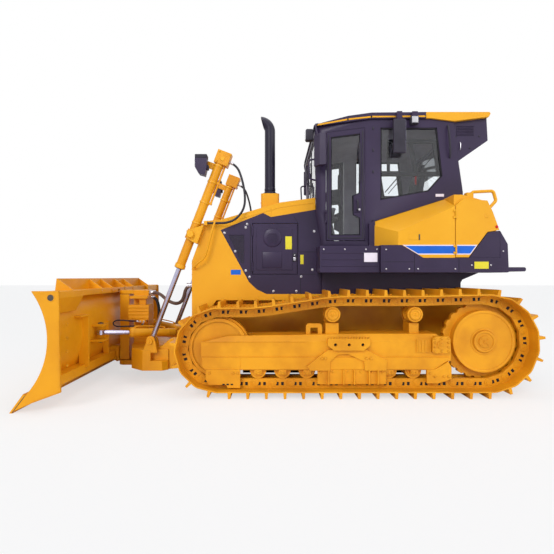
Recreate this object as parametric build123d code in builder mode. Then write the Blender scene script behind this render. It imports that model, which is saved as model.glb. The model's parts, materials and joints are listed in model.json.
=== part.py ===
from build123d import *
import os
from math import atan2, cos, degrees, pi, radians, sin, sqrt, tan

os.makedirs("parts", exist_ok=True)

# All lengths in millimetres. The machine faces -X, its left side is -Y, Z is up.

# Tracks
GAUGE_HALF = 990.0
SHOE_W = 560.0
SHOE_T = 15.0
GROUSER_H = 65.0
GROUSER_T = 26.0
LINK_H = 105.0
LINK_T = 48.0
LINK_OFF = 84.0
SHOE_COUNT = 43
IDLER_X = -814.0
IDLER_SHOE_R = 465.0
SPROCKET_X = 2176.0
SPROCKET_SHOE_R = 538.0
CARRIER_X1 = 475.0
CARRIER_X2 = 1405.0
CARRIER_SHOE_Z = 1122.0
SAG_X = -376.0
ROLLER_R = 92.0
ROLLER_XS = (-366.0, -91.0, 184.0, 491.0, 799.0, 1106.0, 1381.0)

# Track loop heights that follow from the sizes above
PIN_OUT = SHOE_T + LINK_H / 2
PIN_IN = LINK_H / 2
IDLER_Z = IDLER_SHOE_R + GROUSER_H
SPROCKET_Z = SPROCKET_SHOE_R + GROUSER_H
RAIL_LOW = GROUSER_H + SHOE_T + LINK_H
IDLER_R = IDLER_SHOE_R - SHOE_T - LINK_H - 15.0
SPROCKET_R = SPROCKET_SHOE_R - SHOE_T - LINK_H - 14.0
CARRIER_R = 88.0
CARRIER_Z = CARRIER_SHOE_Z - SHOE_T - LINK_H - CARRIER_R - 8.5

# Body
HOOD_HALF = 640.0
HULL_HALF = 440.0
CAB_HALF = 780.0
BOX_OUT = 1100.0
PANEL_T = 20.0
GAP = 6.0
NEAR = 0.3

# Blade and its frame
BLADE_HALF = 1740.0
LIFT_X = 300.0
LIFT_Z = 430.0
YAW_X = -2235.0
TILT_Z = 276.0
TILT_CYL_Z = 1015.0
TILT_BASE_Y = 150.0
TILT_EYE_Y = 645.0
HOIST_Y = 620.0
HOIST_EYE_X = -1710.0
HOIST_EYE_Z = 539.0
HOIST_SLOPE = 0.385
TRUNNION_Z = 1850.0
TRUNNION_X = HOIST_EYE_X + HOIST_SLOPE * (TRUNNION_Z - HOIST_EYE_Z)
ANGLE_EYE = Vector(-2300.0, -720.0, 655.0)
ANGLE_BASE = Vector(-1470.0, -150.0, 575.0)
NOSE_TOP = 430.0


def block(x0, x1, y0, y1, z0, z1, mode=Mode.ADD):
    with Locations(((x0 + x1) / 2, (y0 + y1) / 2, (z0 + z1) / 2)):
        Box(abs(x1 - x0), abs(y1 - y0), abs(z1 - z0), mode=mode)


def side_plate(points, y0, y1):
    with BuildPart(mode=Mode.PRIVATE) as piece:
        with BuildSketch(Plane.XZ.offset(-max(y0, y1))) as face:
            with BuildLine():
                Polyline(points, close=True)
            make_face()
        extrude(amount=abs(y1 - y0))
    return piece.part


def plan_plate(points, z0, z1):
    with BuildPart(mode=Mode.PRIVATE) as piece:
        with BuildSketch(Plane.XY.offset(z0)) as face:
            with BuildLine():
                Polyline(points, close=True)
            make_face()
        extrude(amount=z1 - z0)
    return piece.part


def front_plate(points, x0, x1):
    with BuildPart(mode=Mode.PRIVATE) as piece:
        with BuildSketch(Plane.YZ.offset(x0)) as face:
            with BuildLine():
                Polyline(points, close=True)
            make_face()
        extrude(amount=x1 - x0)
    return piece.part


def rod_y(x, z, r, y0, y1):
    with BuildPart(mode=Mode.PRIVATE) as piece:
        with BuildSketch(Plane.XZ.offset(-max(y0, y1))) as face:
            with Locations((x, z)):
                Circle(r)
        extrude(amount=abs(y1 - y0))
    return piece.part


def rod_z(x, y, r, z0, z1):
    with BuildPart(mode=Mode.PRIVATE) as piece:
        with BuildSketch(Plane.XY.offset(z0)) as face:
            with Locations((x, y)):
                Circle(r)
        extrude(amount=z1 - z0)
    return piece.part


def rod_x(y, z, r, x0, x1):
    with BuildPart(mode=Mode.PRIVATE) as piece:
        with BuildSketch(Plane.YZ.offset(x0)) as face:
            with Locations((y, z)):
                Circle(r)
        extrude(amount=x1 - x0)
    return piece.part


def rod_between(a, b, r):
    with BuildPart(mode=Mode.PRIVATE) as piece:
        with BuildSketch(Plane(origin=a, z_dir=b - a)) as face:
            Circle(r)
        extrude(amount=(b - a).length)
    return piece.part


def save(piece, name):
    piece.label = name
    export_step(piece, "parts/" + name + ".step")


def both_sides(piece):
    return Compound(children=[piece, mirror(piece, about=Plane.XZ)])


# The track loop: the path of the link pins, walked at one shoe pitch


def loop_path():
    ix, iz = IDLER_X, IDLER_Z
    sx, sz = SPROCKET_X, SPROCKET_Z
    ir = IDLER_SHOE_R - PIN_OUT
    sr = SPROCKET_SHOE_R - PIN_OUT
    cz = CARRIER_SHOE_Z - PIN_OUT
    with BuildLine(Plane.XZ) as path:
        low = Line((ix, iz - ir), (sx, sz - sr))
        rear = CenterArc((sx, sz), sr, -90, 180)
        top3 = Line((sx, sz + sr), (CARRIER_X2, cz))
        top2 = Line((CARRIER_X2, cz), (CARRIER_X1, cz))
        top1 = Line((CARRIER_X1, cz), (SAG_X, iz + ir))
        top0 = Line((SAG_X, iz + ir), (ix, iz + ir))
        front = CenterArc((ix, iz), ir, 90, 180)
    return path.wire()


def shoe_frames():
    wire = loop_path()
    ends = [wire.position_at(i / SHOE_COUNT) for i in range(SHOE_COUNT)]
    ends = [(p.X, p.Z) for p in ends]
    cx = sum(p[0] for p in ends) / SHOE_COUNT
    cz = sum(p[1] for p in ends) / SHOE_COUNT
    frames = []
    for i in range(SHOE_COUNT):
        a = ends[i]
        b = ends[(i + 1) % SHOE_COUNT]
        length = sqrt((b[0] - a[0]) ** 2 + (b[1] - a[1]) ** 2)
        tx, tz = (b[0] - a[0]) / length, (b[1] - a[1]) / length
        nx, nz = tz, -tx
        mid = ((a[0] + b[0]) / 2, (a[1] + b[1]) / 2)
        if (mid[0] - cx) * nx + (mid[1] - cz) * nz < 0:
            nx, nz = -nx, -nz
        frames.append((mid, (tx, tz), (nx, nz), length))
    return frames


def local(frame, s, n):
    mid, t, out, _ = frame
    return (mid[0] + s * t[0] + n * out[0], mid[1] + s * t[1] + n * out[1])


def track(side):
    frames = shoe_frames()
    outer, plate_in, rail_out, rail_in = [], [], [], []
    for f in frames:
        half = f[3] / 2 - 5
        g0 = 38.0
        outer.append(local(f, -half, PIN_OUT))
        outer.append(local(f, g0 - GROUSER_T / 2 - 6, PIN_OUT))
        outer.append(local(f, g0 - GROUSER_T / 2, PIN_OUT + GROUSER_H))
        outer.append(local(f, g0 + GROUSER_T / 2, PIN_OUT + GROUSER_H))
        outer.append(local(f, g0 + GROUSER_T / 2 + 6, PIN_OUT))
        outer.append(local(f, half, PIN_OUT))
        plate_in.append(local(f, -half, PIN_IN))
        plate_in.append(local(f, half, PIN_IN))
        rail_in.append(local(f, -half + 12, -PIN_IN))
        rail_in.append(local(f, half - 12, -PIN_IN))
    y_mid = side * GAUGE_HALF
    with BuildPart() as shoes:
        with BuildSketch(Plane.XZ.offset(-(y_mid + SHOE_W / 2))):
            with BuildLine():
                Polyline(outer, close=True)
            make_face()
            with BuildLine():
                Polyline(plate_in, close=True)
            make_face(mode=Mode.SUBTRACT)
        extrude(amount=SHOE_W)
    rails = []
    for k in (-1, 1):
        with BuildPart() as rail:
            with BuildSketch(Plane.XZ.offset(-(y_mid + k * LINK_OFF + LINK_T / 2))):
                with BuildLine():
                    Polyline(plate_in, close=True)
                make_face()
                with BuildLine():
                    Polyline(rail_in, close=True)
                make_face(mode=Mode.SUBTRACT)
            extrude(amount=LINK_T)
        rails.append(rail.part)
    return Compound(children=[shoes.part] + rails)


save(track(-1), "track_left")
save(track(1), "track_right")

# Wheels inside the tracks
IDLER_HUB_R = 120.0
with BuildPart() as idler:
    add(rod_y(IDLER_X, IDLER_Z, IDLER_R, -GAUGE_HALF - 112, -GAUGE_HALF + 112))
    add(rod_y(IDLER_X, IDLER_Z, IDLER_R - 24, -GAUGE_HALF - 112, -GAUGE_HALF - 92), mode=Mode.SUBTRACT)
    add(rod_y(IDLER_X, IDLER_Z, IDLER_R - 24, -GAUGE_HALF + 92, -GAUGE_HALF + 112), mode=Mode.SUBTRACT)
    add(rod_y(IDLER_X, IDLER_Z, IDLER_HUB_R, -GAUGE_HALF - 112, -GAUGE_HALF + 112))
    add(rod_y(IDLER_X, IDLER_Z, IDLER_R + 22, -GAUGE_HALF - 50, -GAUGE_HALF + 50))

COVER_R = 350.0
TEETH = 25
with BuildPart() as sprocket:
    with BuildSketch(Plane.XZ.offset(GAUGE_HALF - 28)):
        with Locations((SPROCKET_X, SPROCKET_Z)):
            Circle(SPROCKET_R + 30)
            with PolarLocations(SPROCKET_R + 42, TEETH):
                Circle(30, mode=Mode.SUBTRACT)
    extrude(amount=56)
    add(rod_y(SPROCKET_X, SPROCKET_Z, COVER_R, -GAUGE_HALF - 120, -GAUGE_HALF - 28))
    add(rod_y(SPROCKET_X, SPROCKET_Z, 122, -GAUGE_HALF - 138, -GAUGE_HALF - 120))
    add(rod_y(SPROCKET_X, SPROCKET_Z, 66, -GAUGE_HALF - 150, -GAUGE_HALF - 138))
    add(rod_y(SPROCKET_X, SPROCKET_Z, COVER_R - 30, -GAUGE_HALF + 28, -GAUGE_HALF + 250))
save(both_sides(sprocket.part), "sprockets")

ROLLER_HALF = 120.0


def roller(x, z, r, barrel):
    with BuildPart(mode=Mode.PRIVATE) as piece:
        add(rod_y(x, z, barrel, -GAUGE_HALF - ROLLER_HALF, -GAUGE_HALF + ROLLER_HALF))
        for k in (-1, 1):
            y = -GAUGE_HALF + k * LINK_OFF
            add(rod_y(x, z, r, y - 30, y + 30))
    return piece.part


wheels = []
for x in ROLLER_XS:
    wheels.append(roller(x, RAIL_LOW + ROLLER_R + 0.4, ROLLER_R, ROLLER_R - 24))
for x in (CARRIER_X1, CARRIER_X2):
    wheels.append(roller(x, CARRIER_Z, CARRIER_R, 46))
wheels.append(idler.part)
wheels += [mirror(w, about=Plane.XZ) for w in wheels]
save(Compound(children=wheels), "rollers_idlers")

# Track frames: two cheeks beside the wheels and a box between them
FRAME_OUT = GAUGE_HALF + 160
FRAME_IN = GAUGE_HALF - 160
CHEEK_T = FRAME_OUT - GAUGE_HALF - ROLLER_HALF
CHEEK = [(-960, 290), (1600, 290), (1790, 400), (1790, 560), (1640, 690), (900, 690), (-700, 668), (-1000, 600),
         (-1000, 330)]
with BuildPart() as frame:
    add(side_plate([(-430, 392), (1600, 392), (1690, 470), (1690, 645), (1640, 690), (900, 690), (-430, 672)],
                   -FRAME_OUT + 30, -FRAME_IN - 30))
    for y in (-FRAME_OUT, -FRAME_IN - CHEEK_T):
        add(side_plate(CHEEK, y, y + CHEEK_T))
    # the outer cheek's top edge slopes inwards and its lower band stands proud
    add(front_plate([(-FRAME_OUT - 2, 606), (-FRAME_OUT - 2, 760), (-FRAME_OUT + 85, 760)], -1100, 1900),
        mode=Mode.SUBTRACT)
    add(side_plate([(-950, 300), (1600, 300), (1760, 405), (1760, 434), (-985, 434), (-985, 335)],
                   -FRAME_OUT - 14, -FRAME_OUT))
    # brackets at the rollers' ends
    for x in ROLLER_XS:
        for y in (-FRAME_OUT, -FRAME_IN - CHEEK_T):
            block(x - 42, x + 42, y, y + CHEEK_T, 240, 292)
    # idler axle blocks
    for y in (-FRAME_OUT + CHEEK_T, -FRAME_IN - CHEEK_T - 8):
        block(IDLER_X - 90, IDLER_X + 90, y, y + 8, IDLER_Z - 90, IDLER_Z + 60)
    # pedestals of the carrier rollers
    for x, w in ((CARRIER_X1, 75), (CARRIER_X2, 55)):
        block(x - w, x + w, -GAUGE_HALF + ROLLER_HALF, -FRAME_IN, 660, CARRIER_Z + 60)
        block(x - w, x + w, -FRAME_OUT + 92, -GAUGE_HALF + ROLLER_HALF, 660, CARRIER_Z - CARRIER_R - 12)
    # ribbed guard over the middle rollers, plain guards at the front and rear
    block(298, 1064, -FRAME_OUT - 6, -FRAME_OUT + 4, 134, 300)
    for x in (410, 580, 700, 862, 960):
        block(x, x + 14, -FRAME_OUT - 40, -FRAME_OUT - 6, 134, 300)
    add(side_plate([(-945, 300), (-562, 300), (-562, 96), (-700, 96), (-720, 130), (-905, 130), (-945, 190)],
                   -FRAME_OUT - 26, -FRAME_OUT + 4))
    add(side_plate([(1510, 300), (1600, 300), (1750, 390), (1785, 330), (1785, 196), (1640, 148), (1510, 148)],
                   -FRAME_OUT - 26, -FRAME_OUT + 4))
    # flared bracket with an arch, step plate with a toothed top
    arch = [(178, 340), (214, 290), (438, 290), (438, 392), (524, 470), (634, 476), (812, 392), (822, 290),
            (1060, 290), (1072, 402), (838, 522), (414, 522)]
    add(side_plate(arch, -FRAME_OUT - 34, -FRAME_OUT))
    add(side_plate([(405, 650), (870, 650), (870, 575), (800, 520), (475, 520), (405, 575)],
                   -FRAME_OUT - 78, -FRAME_OUT - 30))
    for x in (490, 640, 790):
        add(rod_y(x, 583, 17, -FRAME_OUT - 80, -FRAME_OUT - 50), mode=Mode.SUBTRACT)
    for i in range(15):
        x = 418 + i * 31
        block(x, x + 14, -FRAME_OUT - 78, -FRAME_OUT - 30, 650, 664)
    # tensioner covers at the rear
    block(1400, 1562, -FRAME_OUT - 12, -FRAME_OUT, 486, 636)
    add(side_plate([(1566, 500), (1566, 640), (1600, 672), (1740, 672), (1765, 640), (1765, 510), (1740, 486),
                    (1590, 486)], -FRAME_OUT - 48, -FRAME_OUT + 10))
    # tow eye on the top
    add(side_plate([(178, 660), (178, 776), (200, 800), (340, 800), (362, 776), (362, 660), (312, 660),
                    (312, 752), (228, 752), (228, 660)], -FRAME_OUT + 92, -FRAME_OUT + 132))
save(frame.part, "track_frame_left")
save(mirror(frame.part, about=Plane.XZ), "track_frame_right")

# Hull: belly, side walls, cross beams and the push frame's pins
HULL_FRONT = -960.0
HULL_REAR = 2260.0
HULL_TOP = 1100.0
ARM_IN = 470.0
ARM_OUT = 600.0
PIN_R = 45.0
with BuildPart() as hull:
    add(side_plate([(HULL_FRONT, 470), (-700, 330), (1900, 330), (HULL_REAR, 560), (HULL_REAR, HULL_TOP),
                    (HULL_FRONT, HULL_TOP)], -HULL_HALF, HULL_HALF))
    block(1000, 1140, -FRAME_IN, FRAME_IN, 430, 580)
    block(1980, HULL_REAR, -GAUGE_HALF + 250, GAUGE_HALF - 250, 440, 760)
    add(rod_y(LIFT_X, LIFT_Z, PIN_R, -ARM_OUT - 10, ARM_OUT + 10))
save(hull.part, "hull")

# Shapes of the cab's front line and the hood's top line, shared by the pieces that meet there
CAB_FRONT = [(404, 1705), (328, 2136), (318, 2739), (308, 3140)]
HOOD_LINE = [(-1022, 2023), (-830, 2045), (-112, 2253), (324.9, 2312)]


def on_line(points, value, axis):
    for a, b in zip(points, points[1:]):
        if min(a[axis], b[axis]) <= value <= max(a[axis], b[axis]):
            f = (value - a[axis]) / (b[axis] - a[axis])
            return a[1 - axis] + f * (b[1 - axis] - a[1 - axis])
    return points[-1][1 - axis]


# Radiator guard and lower side plates: the yellow shell
FRONT_X = -1204.0
GUARD_A = (FRONT_X, 1527.0)
GUARD_B = (-1022.0, 2023.0)
EDGE_LOW = [(-848, 1911), (-563, 1391), (-496, 1267), (-400, 1175), (-278, 1118), (404, 1118)]
SHELL_SIDE = [(FRONT_X, 760), GUARD_A, GUARD_B, (-848, 2023)] + EDGE_LOW + [(404, 1040), (-900, 1040), (-1100, 760)]
GRILLE_HALF = 420.0
GRILLE_LOW = 860.0
GRILLE_TOP = 1500.0


def guard_x(z):
    return GUARD_A[0] + (GUARD_B[0] - GUARD_A[0]) * (z - GUARD_A[1]) / (GUARD_B[1] - GUARD_A[1])


with BuildPart() as shell:
    for y in (-HOOD_HALF, HOOD_HALF - PANEL_T):
        add(side_plate(SHELL_SIDE, y, y + PANEL_T))
    add(side_plate([(FRONT_X, 1180), GUARD_A, GUARD_B, (-1000, 2023), (-1182, 1527), (-1182, 1180)],
                   -HOOD_HALF, HOOD_HALF))
    add(side_plate([(FRONT_X, 760), (FRONT_X, 1180), (-1182, 1180), (-1182, 760)], -HULL_HALF, HULL_HALF))
    for y in (-HULL_HALF, HULL_HALF - 20):
        block(-1190, HULL_FRONT, y, y + 20, 760, 1090)
    block(-1190, -980, -GRILLE_HALF, GRILLE_HALF, 2000, 2023)
    with BuildSketch(Plane.YZ.offset(FRONT_X - 10)):
        with Locations((0, (GRILLE_LOW + GRILLE_TOP) / 2)):
            Rectangle(2 * GRILLE_HALF, GRILLE_TOP - GRILLE_LOW)
    extrude(amount=60, mode=Mode.SUBTRACT)
save(shell.part, "radiator_guard")

yoke = []
for s in (-1, 1):
    z0, z1 = TRUNNION_Z - 110, TRUNNION_Z + 110
    y0, y1 = sorted((s * (HOIST_Y - 92), s * (HOIST_Y + 92)))
    yoke.append(side_plate([(guard_x(z0), z0), (guard_x(z1), z1), (guard_x(z1) - 22, z1), (guard_x(z0) - 22, z0)],
                           y0, y1))
    for k in (-1, 1):
        y = s * HOIST_Y + k * 80
        with BuildPart() as ear:
            add(side_plate([(TRUNNION_X - 50, TRUNNION_Z - 48), (guard_x(z0) - 22, z0), (guard_x(z1) - 22, z1),
                            (TRUNNION_X - 50, TRUNNION_Z + 48)], y - 12, y + 12))
            add(rod_y(TRUNNION_X, TRUNNION_Z, 30.4, y - 13, y + 13), mode=Mode.SUBTRACT)
        yoke.append(ear.part)
    # bracket that holds the hose's end
    y0, y1 = sorted((s * HOOD_HALF, s * (HOOD_HALF + 85)))
    with BuildPart() as bracket:
        block(-1040, -1000, y0, y1, 1962, 2014)
    yoke.append(bracket.part)
save(Compound(children=yoke), "hoist_yoke")

with BuildPart() as grille:
    block(-1194, -1184, -GRILLE_HALF, GRILLE_HALF, GRILLE_LOW, GRILLE_TOP)
    for i in range(9):
        block(-1202, -1194, -GRILLE_HALF, GRILLE_HALF, GRILLE_LOW + 20 + i * 70, GRILLE_LOW + 40 + i * 70)
save(grille.part, "radiator_grille")

with BuildPart() as engine:
    block(-720, 200, -330, 330, HULL_TOP, 1960)
save(engine.part, "engine_block")

# Hood: top plate with side strips
EDGE_TOP = [(-848, 1911), (-322, 2122), (-223, 2072), (326.9, 2164)]
with BuildPart() as hood:
    add(side_plate(HOOD_LINE + list(reversed(EDGE_TOP)) + [(-848, 2023)], -HOOD_HALF, HOOD_HALF))
    add(side_plate([(-1100, 1800), (-1005, 2003), (-815, 2025), (-112, 2231), (340, 2291), (340, 1800)],
                   -HOOD_HALF + PANEL_T, HOOD_HALF - PANEL_T), mode=Mode.SUBTRACT)
save(hood.part, "hood")

# Black side panels with an engine door in each
DOOR_X0, DOOR_X1, DOOR_Z0, DOOR_Z1 = -450.0, 100.0, 1366.0, 1990.0
PANEL = EDGE_LOW + CAB_FRONT[:2] + [(326.9, 2164)] + list(reversed(EDGE_TOP))[1:-1]
VENT = [(-750, 1850), (-555, 1850), (-555, 1500), (-590, 1500)]
KNUCKLE_R = 10.0


def knuckles(piece_x, piece_y, zs, half, fixed):
    """Hinge barrels: a fixed one above and below each moving one."""
    for z in zs:
        if fixed:
            add(rod_z(piece_x, piece_y, KNUCKLE_R, z + half + NEAR, z + 2 * half))
            add(rod_z(piece_x, piece_y, KNUCKLE_R, z - 2 * half, z - half - NEAR))
            add(rod_z(piece_x, piece_y, KNUCKLE_R + 2, z - half - NEAR, z + half + NEAR), mode=Mode.SUBTRACT)
        else:
            add(rod_z(piece_x, piece_y, KNUCKLE_R, z - half, z + half))
            add(rod_z(piece_x, piece_y, KNUCKLE_R + 2, z + half, z + 2 * half + 2), mode=Mode.SUBTRACT)
            add(rod_z(piece_x, piece_y, KNUCKLE_R + 2, z - 2 * half - 2, z - half), mode=Mode.SUBTRACT)


ENGINE_HINGE = (DOOR_X0 - 3, -HOOD_HALF - 7)
ENGINE_KNUCKLES = (DOOR_Z0 + 90, DOOR_Z1 - 90)
with BuildPart() as panel:
    add(side_plate(PANEL, -HOOD_HALF, -HOOD_HALF + PANEL_T))
    block(DOOR_X0 - GAP, DOOR_X1 + GAP, -HOOD_HALF - 1, -HOOD_HALF + PANEL_T + 1,
          DOOR_Z0 - GAP, DOOR_Z1 + GAP, mode=Mode.SUBTRACT)
    add(side_plate(VENT, -HOOD_HALF - 1, -HOOD_HALF + 8), mode=Mode.SUBTRACT)
    knuckles(ENGINE_HINGE[0], ENGINE_HINGE[1], ENGINE_KNUCKLES, 30, True)
save(both_sides(panel.part), "side_panels")

with BuildPart() as door:
    block(DOOR_X0, DOOR_X1, -HOOD_HALF, -HOOD_HALF + PANEL_T, DOOR_Z0, DOOR_Z1)
    block(DOOR_X0 + 50, DOOR_X1 - 60, -HOOD_HALF - 5, -HOOD_HALF, DOOR_Z0 + 50, DOOR_Z1 - 60)
    knuckles(ENGINE_HINGE[0], ENGINE_HINGE[1], ENGINE_KNUCKLES, 30, False)
save(door.part, "engine_door_left")
save(mirror(door.part, about=Plane.XZ), "engine_door_right")

# Exhaust
STACK_X, STACK_Y, STACK_R = -239.0, -330.0, 68.0
BASE_TOP = 2406.0
with BuildPart() as stack_base:
    with BuildSketch(Plane.XY.offset(2150)):
        with Locations((STACK_X + 2, STACK_Y)):
            RectangleRounded(236, 236, 40)
    extrude(amount=BASE_TOP - 2150)
    add(side_plate([(-600, 2000), (-600, on_line(HOOD_LINE, -600, 0)), (-112, 2253),
                    (100, on_line(HOOD_LINE, 100, 0)), (100, 2000)], STACK_Y - 130, STACK_Y + 130),
        mode=Mode.SUBTRACT)
save(stack_base.part, "exhaust_base")

with BuildPart() as stack:
    with BuildLine() as run:
        FilletPolyline([(STACK_X, STACK_Y, BASE_TOP), (STACK_X, STACK_Y, 3290), (STACK_X - 120, STACK_Y, 3450)],
                       radius=260)
    with BuildSketch(Plane.XY.offset(BASE_TOP).move(Location((STACK_X, STACK_Y, 0)))):
        Circle(STACK_R)
        Circle(STACK_R - 8, mode=Mode.SUBTRACT)
    sweep(path=run.wire())
    add(rod_z(STACK_X, STACK_Y, 92, BASE_TOP, BASE_TOP + 26))
    add(rod_z(STACK_X, STACK_Y, STACK_R - 8, BASE_TOP - 1, BASE_TOP + 60), mode=Mode.SUBTRACT)
save(stack.part, "exhaust_stack")

# Deck under the cab and the cab's base
DECK_FRONT = 404.0
DECK_REAR = 2100.0
DECK_HALF = 700.0
TAIL_X = 2657.0
TAIL_LOW = 1392.0
TAIL_TOP = 1440.0
with BuildPart() as deck:
    block(DECK_FRONT, DECK_REAR, -DECK_HALF, DECK_HALF, HULL_TOP, 1380)
    block(DECK_FRONT, 2091, -DECK_HALF, DECK_HALF, 1380, 1705)
    block(DECK_REAR, TAIL_X, -DECK_HALF, DECK_HALF, TAIL_LOW, TAIL_TOP)
    add(side_plate([(DECK_REAR, 1392), (2386, 1392), (2156, 1295), (DECK_REAR, 1190)], -620, 620))
save(deck.part, "deck")

# Cab
CAB_T = 44.0
CAB_TOP = [(308, 3140), (983, 3230), (1694, 3235), (1980, 3200)]
CAB_REAR = [(1980, 3200), (2037, 2727), (2091, 2353), (2091, 1705)]
WINDOW = [(1097, 3129), (1778, 3129), (1846, 2549), (1677, 2360), (1097, 2257)]
DOORWAY = [(440, 1765), (440, 3070), (910, 3130), (910, 1765)]
FLOOR_Z = 1765.0
CAB_DOOR_HINGE = (438.0, -CAB_HALF - 9)
CAB_KNUCKLES = (2050.0, 2800.0)
with BuildPart() as cab:
    add(side_plate(CAB_FRONT[:-1] + CAB_TOP + CAB_REAR[1:], -CAB_HALF, CAB_HALF))
    add(side_plate([(464, FLOOR_Z), (388, 2136), (378, 2739), (370, 3100), (983, 3180), (1694, 3185),
                    (1935, 3150), (1985, 2727), (2038, 2353), (2038, FLOOR_Z)],
                   -CAB_HALF + CAB_T, CAB_HALF - CAB_T), mode=Mode.SUBTRACT)
    add(side_plate(WINDOW, -CAB_HALF - 1, CAB_HALF + 1), mode=Mode.SUBTRACT)
    add(side_plate(DOORWAY, -CAB_HALF - 1, CAB_HALF + 1), mode=Mode.SUBTRACT)
    with BuildSketch(Plane.YZ.offset(250)):
        with Locations((0, 2620)):
            Rectangle(1380, 900)
    extrude(amount=200, mode=Mode.SUBTRACT)
    with BuildSketch(Plane.YZ.offset(1900)):
        with Locations((0, 2740)):
            Rectangle(1300, 660)
    extrude(amount=250, mode=Mode.SUBTRACT)
    for s in (-1, 1):
        knuckles(CAB_DOOR_HINGE[0], s * CAB_DOOR_HINGE[1], CAB_KNUCKLES, 40, True)
    # raised frame around the side window and the sliding pane's bars
    for s in (-1, 1):
        y0, y1 = sorted((s * (CAB_HALF - 34), s * (CAB_HALF - 24)))
        add(side_plate([(1153, 2640), (1830, 2604), (1820, 2690), (1190, 2690), (1190, 3010), (1690, 3010),
                        (1735, 2690), (1800, 2690), (1768, 3050), (1153, 3050)], y0, y1))
        add(side_plate([(1097, 2640), (1153, 2640), (1153, 2690), (1097, 2690)], y0, y1))
        add(side_plate([(1420, 2690), (1476, 2690), (1450, 3010), (1405, 3010)], y0, y1))
save(cab.part, "cab_shell")

ROOF_HALF = CAB_HALF + 25
ROOF_SPLIT = (1640, on_line(CAB_TOP, 1640, 0))
OVERHANG = [(2393, 3252), (1980, 3200)]
AC_TOP = (2385, on_line(OVERHANG, 2385, 0))
with BuildPart() as roof:
    add(side_plate([(200, 3068), (236, 3128), (330, 3164), (700, 3262), (983, 3302), (1640, 3309), ROOF_SPLIT,
                    (983, 3230), (308, 3140), (240, 3098), (215, 3062)], -ROOF_HALF, ROOF_HALF))
save(roof.part, "cab_roof")

with BuildPart() as roof_rear:
    add(side_plate([(1640, 3309), (2400, 3309), (2412, 3290)] + OVERHANG + [(1694, 3235), ROOF_SPLIT], -ROOF_HALF, ROOF_HALF))
save(roof_rear.part, "roof_overhang")

with BuildPart() as ac_box:
    add(side_plate([(1980, 3200), AC_TOP, (2400, 2980), (2037, 2727)],
                   -CAB_HALF + 20, CAB_HALF - 20))
    for k in range(7):
        for s in (-1, 1):
            y0, y1 = sorted((s * (CAB_HALF - 21), s * (CAB_HALF - 14)))
            block(2020, 2230, y0, y1, 3040 + k * 18, 3048 + k * 18)
save(ac_box.part, "rear_roof_box")

with BuildPart() as glass:
    for y in (-CAB_HALF + 14, CAB_HALF - 20):
        add(side_plate(WINDOW, y, y + 6))
    add(side_plate([(347, 2170), (353, 2170), (343.6, 2739), (335, 3070), (329, 3070), (337.6, 2739)], -690, 690))
    add(side_plate([(2053, 2410), (2061, 2410), (2015, 2727), (1974, 3070), (1966, 3070), (2007, 2727)],
                   -650, 650))
save(glass.part, "cab_glass")

# Cab doors, hinged at the front pillar
DOOR_OUT = CAB_HALF + 10
DOOR_FRAME = [(446, 1771), (446, 3064.8), (904, 3123.2), (904, 1771)]
DOOR_PANE = [(500, 1830), (500, 3012), (850, 3056), (850, 2340), (770, 2300), (770, 2080), (850, 2040), (850, 1830)]
with BuildPart() as cab_door:
    add(side_plate(DOOR_FRAME, -DOOR_OUT, -DOOR_OUT + 40))
    add(side_plate(DOOR_PANE, -DOOR_OUT - 1, -DOOR_OUT + 41), mode=Mode.SUBTRACT)
    block(775, 860, -DOOR_OUT - 12, -DOOR_OUT, 2110, 2270)
    knuckles(CAB_DOOR_HINGE[0], CAB_DOOR_HINGE[1], CAB_KNUCKLES, 40, False)
save(cab_door.part, "cab_door_left")
save(mirror(cab_door.part, about=Plane.XZ), "cab_door_right")
with BuildPart() as door_glass:
    add(side_plate(DOOR_PANE, -DOOR_OUT + 16, -DOOR_OUT + 22))
save(door_glass.part, "door_glass_left")
save(mirror(door_glass.part, about=Plane.XZ), "door_glass_right")

# Fittings on the cab: front mirrors, hand loops, side mirror and roof lamps
LOOP_R = 11.0
fittings = []
for s in (-1, 1):
    with BuildPart() as mirror_arm:
        with BuildLine() as run:
            FilletPolyline([(345, s * 760, 3180), (300, s * 880, 3130), (330, s * 905, 2980)], radius=50)
        with BuildSketch(Plane(origin=(345, s * 760, 3180), z_dir=(-45, s * 120, -50))):
            Circle(LOOP_R)
        sweep(path=run.wire())
        add(plan_plate([(290, s * 850), (325, s * 835), (430, s * 935), (415, s * 960), (345, s * 945)],
                       2640, 3010))
        add(side_plate(CAB_FRONT + CAB_TOP[1:] + CAB_REAR[1:], -CAB_HALF, CAB_HALF), mode=Mode.SUBTRACT)
        add(side_plate([(200, 3068), (236, 3128), (330, 3164), (700, 3262), (700, 3200), (308, 3140),
                        (240, 3098), (215, 3062)], -ROOF_HALF, ROOF_HALF), mode=Mode.SUBTRACT)
    fittings.append(mirror_arm.part)
    with BuildPart() as hand_loop:
        with BuildLine() as run:
            FilletPolyline([(330, s * 740, 2760), (236, s * 740, 2752), (246, s * 740, 2520), (340, s * 740, 2500)],
                           radius=34)
        with BuildSketch(Plane(origin=(330, s * 740, 2760), z_dir=(-94, 0, -8))):
            Circle(LOOP_R)
        sweep(path=run.wire())
        add(side_plate(CAB_FRONT[:-1] + CAB_TOP + CAB_REAR[1:], -CAB_HALF, CAB_HALF), mode=Mode.SUBTRACT)
    fittings.append(hand_loop.part)
    with BuildPart() as side_lamp:
        y0, y1 = sorted((s * ROOF_HALF, s * (ROOF_HALF + 70)))
        block(1440, 1525, y0, y1, 3150, 3236)
        block(1450, 1515, y0, y1, 3236, 3290)
    fittings.append(side_lamp.part)
    with BuildPart() as side_mirror:
        y0, y1 = sorted((s * (ROOF_HALF + 30), s * (ROOF_HALF + 75)))
        block(1230, 1372, y0, y1, 2800, 3200)
        y0, y1 = sorted((s * ROOF_HALF, s * (ROOF_HALF + 75)))
        block(1270, 1330, y0, y1, 3200, 3290)
    fittings.append(side_mirror.part)
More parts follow.
